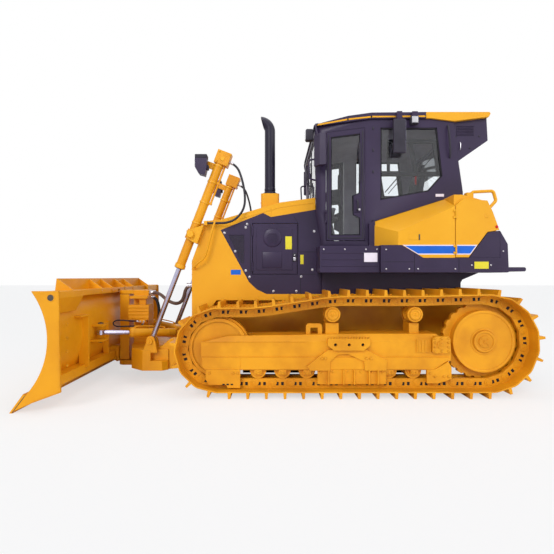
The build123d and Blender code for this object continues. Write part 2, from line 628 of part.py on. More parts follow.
save(Compound(children=fittings), "cab_fittings")

with BuildPart() as seat:
    block(1240, 1760, -250, 250, FLOOR_Z, 2010)
    add(side_plate([(1220, 2010), (1220, 2090), (1260, 2130), (1700, 2110), (1720, 2010)], -270, 270))
    add(side_plate([(1640, 2115), (1745, 2080), (1780, 2120), (1900, 2700), (1880, 2840), (1800, 2860),
                    (1770, 2700)], -240, 240))
    for y in (-345, 275):
        block(1180, 1640, y, y + 70, 2270, 2340)
        block(1500, 1600, y, y + 70, FLOOR_Z, 2270)
    for y in (-275, 240):
        block(1510, 1590, y, y + 35, 1900, 1980)
save(seat.part, "seat")
with BuildPart() as console:
    block(480, 690, -430, 430, FLOOR_Z, 2080)
    block(560, 680, -300, -60, 2080, 2430)
    block(700, 1180, -560, -380, FLOOR_Z, 1800)
save(console.part, "console")

# Side boxes over the tracks, with a service door at the rear
SPLIT_X = 1861.0
BOX_HINGE = (SPLIT_X + 5, -BOX_OUT - 8)
BOX_KNUCKLES = (1640.0, 2040.0)
BOX_LOW = [(957, 1690), (1258, 1690), (1499, 1546)]
with BuildPart() as side_box:
    with BuildSketch(Plane.XZ.offset(CAB_HALF)):
        with BuildLine():
            Polyline(BOX_LOW + [(SPLIT_X - 4, 1546), (SPLIT_X - 4, 2268), (1022, 2004), (957, 1961)], close=True)
        make_face()
    with BuildSketch(Plane.XZ.offset(BOX_OUT)):
        with BuildLine():
            Polyline([(1215, 1690), (1258, 1690), (1499, 1546), (SPLIT_X - 4, 1546), (SPLIT_X - 4, 2130),
                      (1258, 1859), (1215, 1840)], close=True)
        make_face()
    loft(ruled=True)
    knuckles(BOX_HINGE[0], BOX_HINGE[1], BOX_KNUCKLES, 25, True)
    for z in BOX_KNUCKLES:
        for z0, z1 in ((z + 25 + NEAR, z + 50), (z - 50, z - 25 - NEAR)):
            block(SPLIT_X - 24, SPLIT_X + 1, -BOX_OUT - 11, -BOX_OUT, z0, z1)
save(both_sides(side_box.part), "side_boxes")

BOX_REAR = [(2011, 1552), (2222, 1838), (2357, 1860), (2284, 2062), (2222, 2192), (1952, 2215),
            (SPLIT_X + 4, 2135)]
with BuildPart() as box_door:
    add(side_plate([(SPLIT_X + 4, 1552)] + BOX_REAR, -BOX_OUT, -BOX_OUT + 30))
    knuckles(BOX_HINGE[0], BOX_HINGE[1], BOX_KNUCKLES, 25, False)
save(box_door.part, "box_door_left")
save(mirror(box_door.part, about=Plane.XZ), "box_door_right")

with BuildPart() as tank:
    for s in (-1, 1):
        y0, y1 = sorted((s * CAB_HALF, s * (BOX_OUT - 36)))
        add(side_plate([(SPLIT_X - 4, 1546), (2360, 1546), (2340, 1862), (2284, 2062), (2222, 2192),
                        (1952, 2266), (SPLIT_X - 4, 2266)], y0, y1))
    block(2091, 2340, -CAB_HALF, CAB_HALF, 1546, 2050)
rear_boxes = tank.part
RAIL_R = 18.0
RAIL_Y = BOX_OUT - 60
rails = []
for s in (-1, 1):
    with BuildPart() as rail:
        with BuildLine() as run:
            FilletPolyline([(2062, s * RAIL_Y, 2200), (2070, s * RAIL_Y, 2300), (2318, s * RAIL_Y, 2312),
                            (2350, s * RAIL_Y, 2200), (2230, s * RAIL_Y, 2070)], radius=36)
        with BuildSketch(Plane(origin=(2062, s * RAIL_Y, 2200), z_dir=(8, 0, 100))):
            Circle(RAIL_R)
        sweep(path=run.wire())
        y0, y1 = sorted((s * (RAIL_Y - 45), s * (RAIL_Y + 24)))
        block(2005, 2082, y0, y1, 2210, 2290)
    rails.append(rail.part)
with BuildPart() as rear_tank:
    add(rear_boxes)
    for rail in rails:
        add(rail)
save(rear_tank.part, "rear_tank")

# Black skirts under the boxes, steps beside the cab
SKIRT_LOW = 1380.0
with BuildPart() as skirt:
    add(side_plate([(1020, SKIRT_LOW), (2450, SKIRT_LOW), (2475, TAIL_LOW), (TAIL_X - 14, TAIL_LOW), (TAIL_X, 1404),
                    (TAIL_X, 1426), (TAIL_X - 14, TAIL_TOP), (2462, TAIL_TOP), (2451, 1701), (2366, 1850),
                    (2366, 1546), (1499, 1546), (1258, 1690), (1020, 1690)], -BOX_OUT, -DECK_HALF))
    block(337, 1014, -1060, -DECK_HALF, SKIRT_LOW, 1684)
    block(1014, 1020, -1050, -DECK_HALF, SKIRT_LOW, 1684)
    add(side_plate([(337, 1690), (404, 1690), (404, 1450), (337, 1450)], -CAB_HALF, -HOOD_HALF - 1))
    for k in range(3):
        block(360, 990, -1064, -1060, 1450 + k * 75, 1462 + k * 75)
save(both_sides(skirt.part), "skirts")

with BuildPart() as hitch:
    block(HULL_REAR, HULL_REAR + 40, -300, 300, 500, 1050)
    for z in (540, 690):
        block(HULL_REAR + 40, 2560, -110, 110, z, z + 60)
    add(rod_z(2500, 0, 31, 500, 800), mode=Mode.SUBTRACT)
save(hitch.part, "drawbar")

# Push frame with its nose, tower and lugs
BASE_GAP = 62.0
EAR_TOP = 190.0
with BuildPart() as c_frame:
    for s in (-1, 1):
        y0, y1 = sorted((s * ARM_IN, s * ARM_OUT))
        add(side_plate([(LIFT_X - 90, 350), (LIFT_X + 60, 350), (LIFT_X + 90, LIFT_Z), (LIFT_X + 60, 520),
                        (LIFT_X - 90, 520), (-1480, 560), (-1590, 465), (-1830, NOSE_TOP), (-1830, 180),
                        (-1500, 180)], y0, y1))
        add(rod_y(LIFT_X, LIFT_Z, PIN_R + 0.4, s * (ARM_IN - 3), s * (ARM_OUT + 3)), mode=Mode.SUBTRACT)
    add(plan_plate([(-1985, -540), (-2080, -250), (-2118, -110), (-2118, 110), (-2080, 250), (-1985, 540),
                    (-1800, 697), (-1560, 697), (-1500, 640), (-1500, -640), (-1560, -697), (-1800, -697)],
                   180, NOSE_TOP))
    # recess in the nose's side
    for s in (-1, 1):
        y0, y1 = sorted((s * 620, s * 700))
        block(-1700, -1500, y0, y1, 300, 440, mode=Mode.SUBTRACT)
    # lower ear on the blade's turning axis
    block(-2240, -2000, -95, 95, 125, EAR_TOP)
    add(rod_z(YAW_X, 0, 95, 125, EAR_TOP))
    block(-2100, -1900, -110, 110, 125, 200)
    add(rod_z(YAW_X, 0, PIN_R + 0.4, 100, 200), mode=Mode.SUBTRACT)
    # hoist lugs with rounded tops
    for s in (-1, 1):
        for a, b in ((HOIST_Y - 75, HOIST_Y - 40), (HOIST_Y + 40, HOIST_Y + 75)):
            y0, y1 = sorted((s * a, s * b))
            add(side_plate([(-1800, 400), (-1620, 400), (-1640, 520), (-1660, 580), (-1690, 602), (-1724, 602),
                            (-1746, 584), (-1758, 520)], y0, y1))
        y0, y1 = sorted((s * (HOIST_Y + 75), s * (HOIST_Y + 85)))
        add(rod_y(HOIST_EYE_X, HOIST_EYE_Z, 34, y0, y1))
save(c_frame.part, "push_frame")

TOWER_TOP = 1150.0
with BuildPart() as tower:
    block(-2100, -1900, -110, 110, NOSE_TOP, TOWER_TOP)
    block(-2240, -2000, -95, 95, 1100, TOWER_TOP)
    add(rod_z(YAW_X, 0, 95, 1100, TOWER_TOP))
    add(rod_z(YAW_X, 0, PIN_R + 0.4, 1090, TOWER_TOP + 10), mode=Mode.SUBTRACT)
    # ribbed guard box beside the tower
    block(-2110, -1840, -300, -100, 765, 960)
    for k in range(4):
        block(-2110, -1840, -308, -300, 785 + k * 45, 803 + k * 45)
    block(-2110, -1870, -260, -100, 1040, 1075)
    block(-1990, -1900, -230, -100, 960, 1040)
# seats of the angle cylinders' ball ends
with BuildPart() as ball_seats:
    block(-1560, ANGLE_BASE.X + 20, -70, 70, NOSE_TOP, ANGLE_BASE.Z + BASE_GAP + 30)
    for z in (ANGLE_BASE.Z - BASE_GAP - 30, ANGLE_BASE.Z + BASE_GAP):
        block(ANGLE_BASE.X - 40, ANGLE_BASE.X + 40, -192, 192, z, z + 30)
save(Compound(children=[tower.part, ball_seats.part]), "tower")

# Blade carrier: post on the turning axis, stub for the blade
TILT_PIN_R = 14.0
with BuildPart() as carrier:
    block(YAW_X - 62, YAW_X + 62, -88, 88, 200, 1092)
    add(rod_z(YAW_X, 0, PIN_R, 130, 1145))
    add(rod_z(YAW_X, 0, 62, EAR_TOP + 0.4, 210))
    add(rod_x(0, TILT_Z, 60, -2430, YAW_X))
    for x in (YAW_X - 50, YAW_X + 35):
        block(x, x + 15, 88, 185, TILT_CYL_Z - 40, TILT_CYL_Z + 40)
save(carrier.part, "blade_carrier")

# Blade
FRONT_TOP = (-2548, 1183)
FRONT_MID = (-2397, 694)
EDGE_BACK = (-2609, 172)
BEAM_TOP = 1185.0
BLADE_TIP = 2766.4
EDGE_TIP = (-2736, 0)
EDGE_STEP = (EDGE_BACK[0] + 0.87 * (EDGE_TIP[0] - EDGE_BACK[0]), EDGE_BACK[1] * 0.13)
PLATE = 22.0
# the space ahead of the curved face, which no beam may enter
with BuildPart() as ahead:
    with BuildSketch(Plane.XZ.offset(-BLADE_HALF - 5)):
        with BuildLine():
            a = ThreePointArc(FRONT_TOP, FRONT_MID, EDGE_BACK)
            b = Polyline(EDGE_BACK, (-2800, 172), (-2800, 1183), FRONT_TOP)
        make_face()
    extrude(amount=2 * BLADE_HALF + 10)
front_space = ahead.part

END_T = 28.0
INNER = BLADE_HALF - END_T
with BuildPart() as face_plate:
    with BuildSketch(Plane.XZ.offset(-INNER)):
        with BuildLine():
            a = ThreePointArc(FRONT_TOP, FRONT_MID, EDGE_BACK)
            b = Line(EDGE_BACK, (EDGE_BACK[0] + 18, EDGE_BACK[1] - 14))
            c = ThreePointArc((EDGE_BACK[0] + 18, EDGE_BACK[1] - 14), (FRONT_MID[0] + PLATE, FRONT_MID[1]),
                              (FRONT_TOP[0] + 21, FRONT_TOP[1]))
            d = Line((FRONT_TOP[0] + 21, FRONT_TOP[1]), FRONT_TOP)
        make_face()
    extrude(amount=2 * INNER)
    # top beam, and the lower wedge that carries the edge
    add(side_plate([(-2500, 1120), (-2350, 1120), (-2350, BEAM_TOP), (-2530, BEAM_TOP)], -INNER, INNER))
    add(side_plate([(-2575, 180), (-2480, 330), (-2350, 330), (-2350, 230), (-2540, 130)], -INNER, INNER))
    add(side_plate([EDGE_BACK, EDGE_STEP, (-2680, 40), (-2570, 150)], -INNER, INNER))
    add(rod_x(0, TILT_Z, 60.4, -2440, -2300), mode=Mode.SUBTRACT)
    add(front_space, mode=Mode.SUBTRACT)
# raised centre guard with gussets
with BuildPart() as top_guard:
    add(side_plate([(-2532, BEAM_TOP), (-2516, 1313), (-2502, 1313), (-2502, BEAM_TOP)], -1335, 1335))
    for y in (-1335, -584, -242, 227, 569, 1320):
        add(side_plate([(-2505, BEAM_TOP), (-2505, 1308), (-2330, BEAM_TOP)], y, y + 15))
blade = [face_plate.part, top_guard.part]
for s in (-1, 1):
    y0, y1 = sorted((s * INNER, s * BLADE_HALF))
    with BuildPart() as end_plate:
        with BuildSketch(Plane.XZ.offset(-y1)):
            with BuildLine():
                a = ThreePointArc(FRONT_TOP, FRONT_MID, EDGE_BACK)
                b = Polyline(EDGE_BACK, EDGE_STEP, (-2549, 98), (-2269, 200), (-2288, 1191), (-2548, 1191),
                             FRONT_TOP)
            make_face()
        extrude(amount=END_T)
    # sloped brace at the end's top corner
    y0, y1 = sorted((s * INNER, s * 1180))
    with BuildPart() as brace:
        add(side_plate([(-2450, 960), (-2380, 960), (-2300, 1120), (-2300, BEAM_TOP), (-2450, BEAM_TOP)], y0, y1))
        add(face_plate.part, mode=Mode.SUBTRACT)
        add(front_space, mode=Mode.SUBTRACT)
    blade += [end_plate.part, brace.part]
save(Compound(children=blade), "blade")

# Hub, clevises, ribs and the tilt cylinder's bracket on the blade's back
with BuildPart() as mounts:
    # hub for the carrier's stub
    add(rod_x(0, TILT_Z, 104, -2530, -2340))
    add(rod_x(0, TILT_Z, 60.4, -2440, -2300), mode=Mode.SUBTRACT)
    # clevises for the angle cylinders, vertical ribs and shelves
    for s in (-1, 1):
        y0, y1 = sorted((s * (abs(ANGLE_EYE.Y) - 80), s * (abs(ANGLE_EYE.Y) + 80)))
        for z in (ANGLE_EYE.Z - 106, ANGLE_EYE.Z + 78):
            block(-2420, ANGLE_EYE.X + 60, y0, y1, z, z + 28)
        y0, y1 = sorted((s * 1000, s * 1030))
        block(-2420, -2310, y0, y1, 300, 900)
        y0, y1 = sorted((s * 1010, s * 1200))
        block(-2420, -2320, y0, y1, 880, 900)
        y0, y1 = sorted((s * 330, s * 360))
        block(-2420, -2350, y0, y1, 300, 760)
    # bracket of the tilt cylinder's rod
    block(-2440, YAW_X - 41, TILT_EYE_Y - 55, TILT_EYE_Y + 75, TILT_CYL_Z - 60, TILT_CYL_Z + 60)
    block(-2300, YAW_X + 61, TILT_EYE_Y + 55, TILT_EYE_Y + 75, TILT_CYL_Z - 60, TILT_CYL_Z + 60)
    block(YAW_X + 41, YAW_X + 61, TILT_EYE_Y - 55, TILT_EYE_Y + 75, TILT_CYL_Z - 60, TILT_CYL_Z + 60)
    add(face_plate.part, mode=Mode.SUBTRACT)
    add(front_space, mode=Mode.SUBTRACT)
save(mounts.part, "blade_mounts")

with BuildPart() as edge:
    add(side_plate([(-BLADE_TIP, 0), (-2630, 188), EDGE_BACK, EDGE_TIP], -BLADE_HALF, BLADE_HALF))
save(edge.part, "cutting_edge")

# Hoist cylinders
U = Vector(HOIST_SLOPE, 0, 1).normalized()
HOIST_R = 56.0
HOIST_ROD_R = 32.0


def hoist_point(s, t, dx=0.0):
    return Vector(TRUNNION_X + dx, s * HOIST_Y, TRUNNION_Z) + U * t


def tilted_block(s, t0, t1, dx0, dx1, y0, y1):
    a, b = sorted((s * y0, s * y1))
    n = Vector(U.Z, 0, -U.X)
    base = Vector(TRUNNION_X, 0, TRUNNION_Z)
    pts = [base + U * t + n * d for t, d in ((t0, dx0), (t1, dx0), (t1, dx1), (t0, dx1))]
    return side_plate([(p.X, p.Z) for p in pts], a, b)


for s, name in ((-1, "left"), (1, "right")):
    with BuildPart() as barrel:
        add(rod_between(hoist_point(s, -420), hoist_point(s, 1000), HOIST_R))
        add(rod_between(hoist_point(s, -440), hoist_point(s, -385), HOIST_R + 7))
        # head block and trunnion collar
        add(tilted_block(s, 940, 1105, -66, 110, HOIST_Y - 62, HOIST_Y + 62))
        add(tilted_block(s, -60, 60, -62, 60, HOIST_Y - 56, HOIST_Y + 56))
        # oil pipe along the rear side
        pipe = Vector(U.Z, 0, -U.X) * 76
        add(rod_between(hoist_point(s, 430) + pipe, hoist_point(s, 950) + pipe, 13))
        for t in (430, 700):
            add(tilted_block(s, t, t + 26, 0, 92, HOIST_Y - 15, HOIST_Y + 15))
        add(rod_between(hoist_point(s, -441), hoist_point(s, 930), HOIST_ROD_R + 0.4), mode=Mode.SUBTRACT)
        add(rod_y(TRUNNION_X, TRUNNION_Z, 30, s * HOIST_Y - 88, s * HOIST_Y - 50))
        add(rod_y(TRUNNION_X, TRUNNION_Z, 30, s * HOIST_Y + 50, s * HOIST_Y + 88))
        # work lamp's arm
        add(tilted_block(s, 850, 930, -190, -45, HOIST_Y - 8, HOIST_Y + 8))
    save(barrel.part, "hoist_barrel_" + name)
    eye = Vector(HOIST_EYE_X, s * HOIST_Y, HOIST_EYE_Z)
    with BuildPart() as rod:
        add(rod_between(eye, hoist_point(s, 40), HOIST_ROD_R))
        add(rod_y(HOIST_EYE_X, HOIST_EYE_Z, 50, s * HOIST_Y - 35, s * HOIST_Y + 35))
        add(rod_y(HOIST_EYE_X, HOIST_EYE_Z, 25, s * HOIST_Y - 39.7, s * HOIST_Y + 39.7))
    save(rod.part, "hoist_rod_" + name)
    with BuildPart() as lamp:
        y0, y1 = sorted((s * (HOIST_Y + 8), s * (HOIST_Y + 118)))
        add(side_plate([(-1146, 2664), (-1146, 2806), (-1130, 2822), (-1022, 2822), (-1006, 2806), (-1006, 2664),
                        (-1030, 2568), (-1104, 2590)], y0, y1))
    save(lamp.part, "work_lamp_" + name)

# Angle cylinders
ANGLE_GLAND = 665.0
ANGLE_R = 56.0
for s, name in ((-1, "left"), (1, "right")):
    base = Vector(ANGLE_BASE.X, s * abs(ANGLE_BASE.Y), ANGLE_BASE.Z)
    eye = Vector(ANGLE_EYE.X, s * abs(ANGLE_EYE.Y), ANGLE_EYE.Z)
    line = (eye - base).normalized()
    with BuildPart() as barrel:
        add(rod_between(base + line * 70, base + line * ANGLE_GLAND, ANGLE_R))
        add(rod_between(base + line * 48, base + line * 70, 30))
        add(rod_between(base + line * 80, base + line * (ANGLE_GLAND + 1), 27.4), mode=Mode.SUBTRACT)
        with Locations(base):
            Sphere(ANGLE_R)
            Sphere(40.5, mode=Mode.SUBTRACT)
            Cylinder(36, 130, mode=Mode.SUBTRACT)
    save(barrel.part, "angle_barrel_" + name)
    with BuildPart() as ball:
        with Locations(base):
            Sphere(40)
            Cylinder(24, 2 * BASE_GAP - 2 * NEAR)
    save(ball.part, "angle_ball_" + name)
    with BuildPart() as rod:
        add(rod_between(base + line * 365, eye, 27))
        add(rod_z(eye.X, eye.Y, 45, eye.Z - 27.5, eye.Z + 27.5))
    save(rod.part, "angle_rod_" + name)

# Tilt cylinder
with BuildPart() as tilt_barrel:
    add(rod_y(YAW_X, TILT_CYL_Z, 42, 195, 470))
    add(rod_y(YAW_X, TILT_CYL_Z, 21.4, 240, 471), mode=Mode.SUBTRACT)
    block(YAW_X - 30, YAW_X + 30, TILT_BASE_Y, 196, TILT_CYL_Z - 25, TILT_CYL_Z + 25)
    add(rod_x(TILT_BASE_Y, TILT_CYL_Z, 32, YAW_X - 30, YAW_X + 30))
    add(rod_x(TILT_BASE_Y, TILT_CYL_Z, TILT_PIN_R, YAW_X - 34.7, YAW_X + 34.7))
save(tilt_barrel.part, "tilt_barrel")
with BuildPart() as tilt_rod:
    add(rod_y(YAW_X, TILT_CYL_Z, 21, 345, TILT_EYE_Y))
    add(rod_x(TILT_EYE_Y, TILT_CYL_Z, 34, YAW_X - 34, YAW_X + 34))
save(tilt_rod.part, "tilt_rod")


# Hoses: straight runs joined by arcs as large as the runs allow
def hose(points, r, name):
    stops = [Vector(*p) for p in points]
    runs = [b - a for a, b in zip(stops, stops[1:])]
    radii = []
    for a, b in zip(runs, runs[1:]):
        radii.append(0.45 * min(a.length, b.length) / tan(radians(a.get_angle(b)) / 2))
    with BuildPart(mode=Mode.PRIVATE) as tube:
        with BuildLine() as route:
            FilletPolyline(stops, radius=radii)
        with BuildSketch(Plane(origin=stops[0], z_dir=runs[0])):
            Circle(r)
        sweep(path=route.wire())
    length = route.wire().length
    ratio = tube.part.volume / (pi * r * r * length)
    print(name, "length", round(length), "radii", [round(x) for x in radii], "fill", round(ratio, 4))
    return tube.part


HOIST_HOSE_R = 14.0
top = hoist_point(-1, 1010) + Vector(U.Z, 0, -U.X) * 110
left_hose = hose([top, top + Vector(U.Z, 0, -U.X) * 95, (-585, -655, 2560), (-540, -695, 2350), (-545, -712, 2170),
                  (-640, -714, 2040), (-755, -706, 1992), (-880, -700, 1988), (-1000, -700, 1988)],
                 HOIST_HOSE_R, "hoist hose")
save(both_sides(left_hose), "hoist_hoses")
FRONT_HOSE_R = 22.0
save(hose([(-1900, -60, 1118), (-1825, -60, 1118), (-1715, -170, 1095), (-1600, -280, 1015), (-1450, -400, 975),
           (-1340, -500, 1030), (-1290, -560, 1225), (-1204, -560, 1225)], FRONT_HOSE_R, "front hose"), "front_hose")
FRAME_HOSE_R = 13.0
frame_hoses = []
for y in (-40, 20):
    frame_hoses.append(hose([(-1900, y, 1050), (-1830, y, 1050), (-1785, y - 12, 930), (-1775, y - 32, 800),
                             (-1795, y - 30, 660), (-1840, y - 22, 540), (-1840, y - 22, NOSE_TOP)],
                            FRAME_HOSE_R, "frame hose"))
save(Compound(children=frame_hoses), "frame_hoses")
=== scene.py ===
# %% [markdown]
# # A crawler dozer, dressed
# The steel shapes of the machine come ready made from its CAD model. In this lesson they get
# paint, rubber, glass and chrome, and the many small parts that a solid model leaves out, such as
# bolt heads, seams, labels, hoses and lamp lenses. All lengths below are in millimetres, and each
# finished piece is scaled to metres once, at its end.

import json
from math import atan2, cos, pi, radians, sin

import bmesh
import bpy
from mathutils import Matrix, Vector


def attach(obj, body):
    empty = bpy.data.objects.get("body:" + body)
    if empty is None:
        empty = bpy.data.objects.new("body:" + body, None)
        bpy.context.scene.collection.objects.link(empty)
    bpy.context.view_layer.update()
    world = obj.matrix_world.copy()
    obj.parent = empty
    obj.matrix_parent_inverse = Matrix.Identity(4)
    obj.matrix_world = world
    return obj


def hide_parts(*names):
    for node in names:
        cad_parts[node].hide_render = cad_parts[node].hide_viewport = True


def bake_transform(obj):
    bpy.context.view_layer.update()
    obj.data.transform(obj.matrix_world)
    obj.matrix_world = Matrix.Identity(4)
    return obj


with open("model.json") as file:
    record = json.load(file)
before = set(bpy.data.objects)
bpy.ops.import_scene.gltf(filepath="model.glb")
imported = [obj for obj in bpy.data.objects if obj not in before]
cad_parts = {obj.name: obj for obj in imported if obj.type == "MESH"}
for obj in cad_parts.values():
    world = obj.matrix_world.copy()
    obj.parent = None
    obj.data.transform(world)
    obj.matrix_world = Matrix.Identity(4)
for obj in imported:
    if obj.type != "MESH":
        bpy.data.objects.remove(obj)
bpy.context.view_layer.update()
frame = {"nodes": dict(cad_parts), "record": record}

# %% [markdown]
# ## Camera
# The machine was seen level, from its left, and from quite near, so that the near track looks much
# larger than the far one. A wide lens close by gives that. A long lens from far off would flatten
# it. The small shift puts the middle of the view where it is in the picture.

# %% Camera
EYE = (-0.186, -5.770, 1.329)
camera_data = bpy.data.cameras.new("camera")
camera_data.sensor_width = 36.0
camera_data.lens = 26.9
camera_data.shift_x = 0.0054
camera = bpy.data.objects.new("camera", camera_data)
camera.location = EYE
camera.rotation_euler = (radians(90), 0, 0)
bpy.context.scene.collection.objects.link(camera)
bpy.context.scene.camera = camera
bpy.context.scene.view_settings.view_transform = "Standard"
print("camera at", EYE)

# %% [markdown]
# ## Light and floor
# A studio with white walls lights from all round, which the world colour does here. One wide sun
# from behind the camera and one softer lamp from above give the faces their different tones. The
# world and the floor look pure white to the camera only, so that the machine isn't over lit.

# %% World
def node_of(tree, kind, **values):
    made = tree.nodes.new(kind)
    for key, value in values.items():
        setattr(made, key, value)
    return made


WORLD_LIGHT = 0.48
world = bpy.data.worlds.new("studio")
bpy.context.scene.world = world
world.use_nodes = True
sky = world.node_tree
back = sky.nodes["Background"]
back.inputs["Color"].default_value = (0.93, 0.96, 1.0, 1)
back.inputs["Strength"].default_value = WORLD_LIGHT
white = node_of(sky, "ShaderNodeBackground")
white.inputs["Color"].default_value = (1, 1, 1, 1)
white.inputs["Strength"].default_value = 1.0
path = node_of(sky, "ShaderNodeLightPath")
seen = node_of(sky, "ShaderNodeMath", operation="MAXIMUM")
through = node_of(sky, "ShaderNodeMath", operation="MAXIMUM")
either = node_of(sky, "ShaderNodeMixShader")
sky.links.new(path.outputs["Is Camera Ray"], seen.inputs[0])
sky.links.new(path.outputs["Is Transmission Ray"], seen.inputs[1])
sky.links.new(seen.outputs[0], through.inputs[0])
sky.links.new(path.outputs["Is Glossy Ray"], through.inputs[1])
sky.links.new(through.outputs[0], either.inputs["Fac"])
sky.links.new(back.outputs[0], either.inputs[1])
sky.links.new(white.outputs[0], either.inputs[2])
sky.links.new(either.outputs[0], sky.nodes["World Output"].inputs["Surface"])
print("world light", WORLD_LIGHT)

# %% Lamps
def lamp(name, kind, energy, place, towards, spread):
    data = bpy.data.lights.new(name, kind)
    data.energy = energy
    if kind == "SUN":
        data.angle = spread
    else:
        data.shape = "DISK"
        data.size = spread
    thing = bpy.data.objects.new(name, data)
    thing.location = place
    thing.rotation_euler = (Vector(towards) - Vector(place)).to_track_quat("-Z", "Y").to_euler()
    bpy.context.scene.collection.objects.link(thing)
    return thing


lamp("key", "SUN", 1.5, (-2.6, -6.5, 5.2), (0, 0, 1.0), radians(26))
lamp("top", "AREA", 110, (0.6, -1.0, 7.5), (0.2, 0, 1.0), 5.0)
lamp("fill", "SUN", 0.85, (6.0, -5.0, 3.0), (0, 0, 1.0), radians(40))
print("three lamps")

# %% Floor
def flat_material(name, colour, roughness):
    made = bpy.data.materials.new(name)
    made.use_nodes = True
    shader = made.node_tree.nodes["Principled BSDF"]
    shader.inputs["Base Color"].default_value = (*colour, 1)
    shader.inputs["Roughness"].default_value = roughness
    return made


FLOOR_HALF = 60.0
floor_mesh = bmesh.new()
bmesh.ops.create_grid(floor_mesh, x_segments=2, y_segments=2, size=FLOOR_HALF)
floor_data = bpy.data.meshes.new("floor")
floor_mesh.to_mesh(floor_data)
floor_mesh.free()
floor = bpy.data.objects.new("floor", floor_data)
bpy.context.scene.collection.objects.link(floor)
floor_paint = flat_material("floor_paint", (0.93, 0.93, 0.94), 0.9)
tree = floor_paint.node_tree
glow = node_of(tree, "ShaderNodeEmission")
glow.inputs["Color"].default_value = (1, 1, 1, 1)
glow.inputs["Strength"].default_value = 1.0
rays = node_of(tree, "ShaderNodeLightPath")
share = node_of(tree, "ShaderNodeMath", operation="MULTIPLY")
share.inputs[1].default_value = 0.62
blend = node_of(tree, "ShaderNodeMixShader")
tree.links.new(rays.outputs["Is Camera Ray"], share.inputs[0])
tree.links.new(share.outputs[0], blend.inputs["Fac"])
tree.links.new(tree.nodes["Principled BSDF"].outputs[0], blend.inputs[1])
tree.links.new(glow.outputs[0], blend.inputs[2])
tree.links.new(blend.outputs[0], tree.nodes["Material Output"].inputs["Surface"])
floor.data.materials.append(floor_paint)
print("floor", 2 * FLOOR_HALF, "m wide")

# %% [markdown]
# ## Paint
# Sprayed paint is never one flat colour. It has broad soft changes of tone, a slight orange-peel
# ripple, and edges that catch light because real plate edges are a little round. The bevel node
# rounds the shading at the CAD model's sharp edges, and two noises give the tone and the ripple.

# %% Paint material
SHEEN = 0.26


def paint(name, colour, shade, roughness, metallic=0.0, coat=0.0, tone_scale=1.6, ripple=0.0004, edge=0.006):
    made = bpy.data.materials.new(name)
    made.use_nodes = True
    tree = made.node_tree
    shader = tree.nodes["Principled BSDF"]
    shader.inputs["Metallic"].default_value = metallic
    shader.inputs["Coat Weight"].default_value = coat
    shader.inputs["Coat Roughness"].default_value = 0.18
    shader.inputs["Specular IOR Level"].default_value = SHEEN
    where = node_of(tree, "ShaderNodeTexCoord")
    tone = node_of(tree, "ShaderNodeTexNoise")
    tone.inputs["Scale"].default_value = tone_scale
    tone.inputs["Detail"].default_value = 4.0
    spread = node_of(tree, "ShaderNodeMapRange")
    spread.inputs["From Min"].default_value = 0.38
    spread.inputs["From Max"].default_value = 0.66
    mix = node_of(tree, "ShaderNodeMix", data_type="RGBA")
    mix.inputs["A"].default_value = (*colour, 1)
    mix.inputs["B"].default_value = (*shade, 1)
    dull = node_of(tree, "ShaderNodeTexNoise")
    dull.inputs["Scale"].default_value = 7.0 * tone_scale
    dull.inputs["Detail"].default_value = 3.0
    rough = node_of(tree, "ShaderNodeMapRange")
    rough.inputs["To Min"].default_value = max(0.02, roughness - 0.09)
    rough.inputs["To Max"].default_value = roughness + 0.12
    peel = node_of(tree, "ShaderNodeTexNoise")
    peel.inputs["Scale"].default_value = 220.0
    peel.inputs["Detail"].default_value = 2.0
    bump = node_of(tree, "ShaderNodeBump")
    bump.inputs["Strength"].default_value = 0.35
    bump.inputs["Distance"].default_value = ripple
    links = tree.links
    for pattern in (tone, dull, peel):
        links.new(where.outputs["Object"], pattern.inputs["Vector"])
    links.new(tone.outputs["Fac"], spread.inputs["Value"])
    links.new(spread.outputs["Result"], mix.inputs["Factor"])
    links.new(mix.outputs["Result"], shader.inputs["Base Color"])
    links.new(dull.outputs["Fac"], rough.inputs["Value"])
    links.new(rough.outputs["Result"], shader.inputs["Roughness"])
    links.new(peel.outputs["Fac"], bump.inputs["Height"])
    links.new(bump.outputs["Normal"], shader.inputs["Normal"])
    if edge:
        soft = node_of(tree, "ShaderNodeBevel", samples=4)
        soft.inputs["Radius"].default_value = edge
        links.new(soft.outputs["Normal"], bump.inputs["Normal"])
    return made


yellow = paint("loader_yellow", (0.82, 0.395, 0.014), (0.77, 0.35, 0.010), 0.36, coat=0.06)
chassis_yellow = paint(
    "chassis_yellow",
    (0.79, 0.345, 0.009),
    (0.64, 0.25, 0.006),
    0.44,
    coat=0.04,
    tone_scale=3.0,
)
blade_yellow = paint(
    "blade_yellow",
    (0.80, 0.35, 0.007),
    (0.70, 0.28, 0.005),
    0.40,
    coat=0.05,
    tone_scale=2.2,
)
dark = paint("cab_violet_black", (0.034, 0.021, 0.058), (0.025, 0.015, 0.043), 0.40, coat=0.05)
dark_deep = paint("panel_shadow_black", (0.018, 0.013, 0.027), (0.013, 0.010, 0.020), 0.5)
stack_black = paint("stack_black", (0.018, 0.014, 0.034), (0.012, 0.010, 0.024), 0.36)
iron = paint("engine_iron", (0.07, 0.066, 0.07), (0.05, 0.047, 0.05), 0.6, metallic=0.5)
print("painted", [m.name for m in bpy.data.materials if "yellow" in m.name])

# %% [markdown]
# ## Chrome, rubber, glass and cloth
# A cylinder rod is ground and chromed, so it mirrors with very fine lines round it. Rubber is dull
# and a little grainy. Window glass is thin, so light passes almost straight through it. Seat cloth
# has a weave of fine crossing waves.

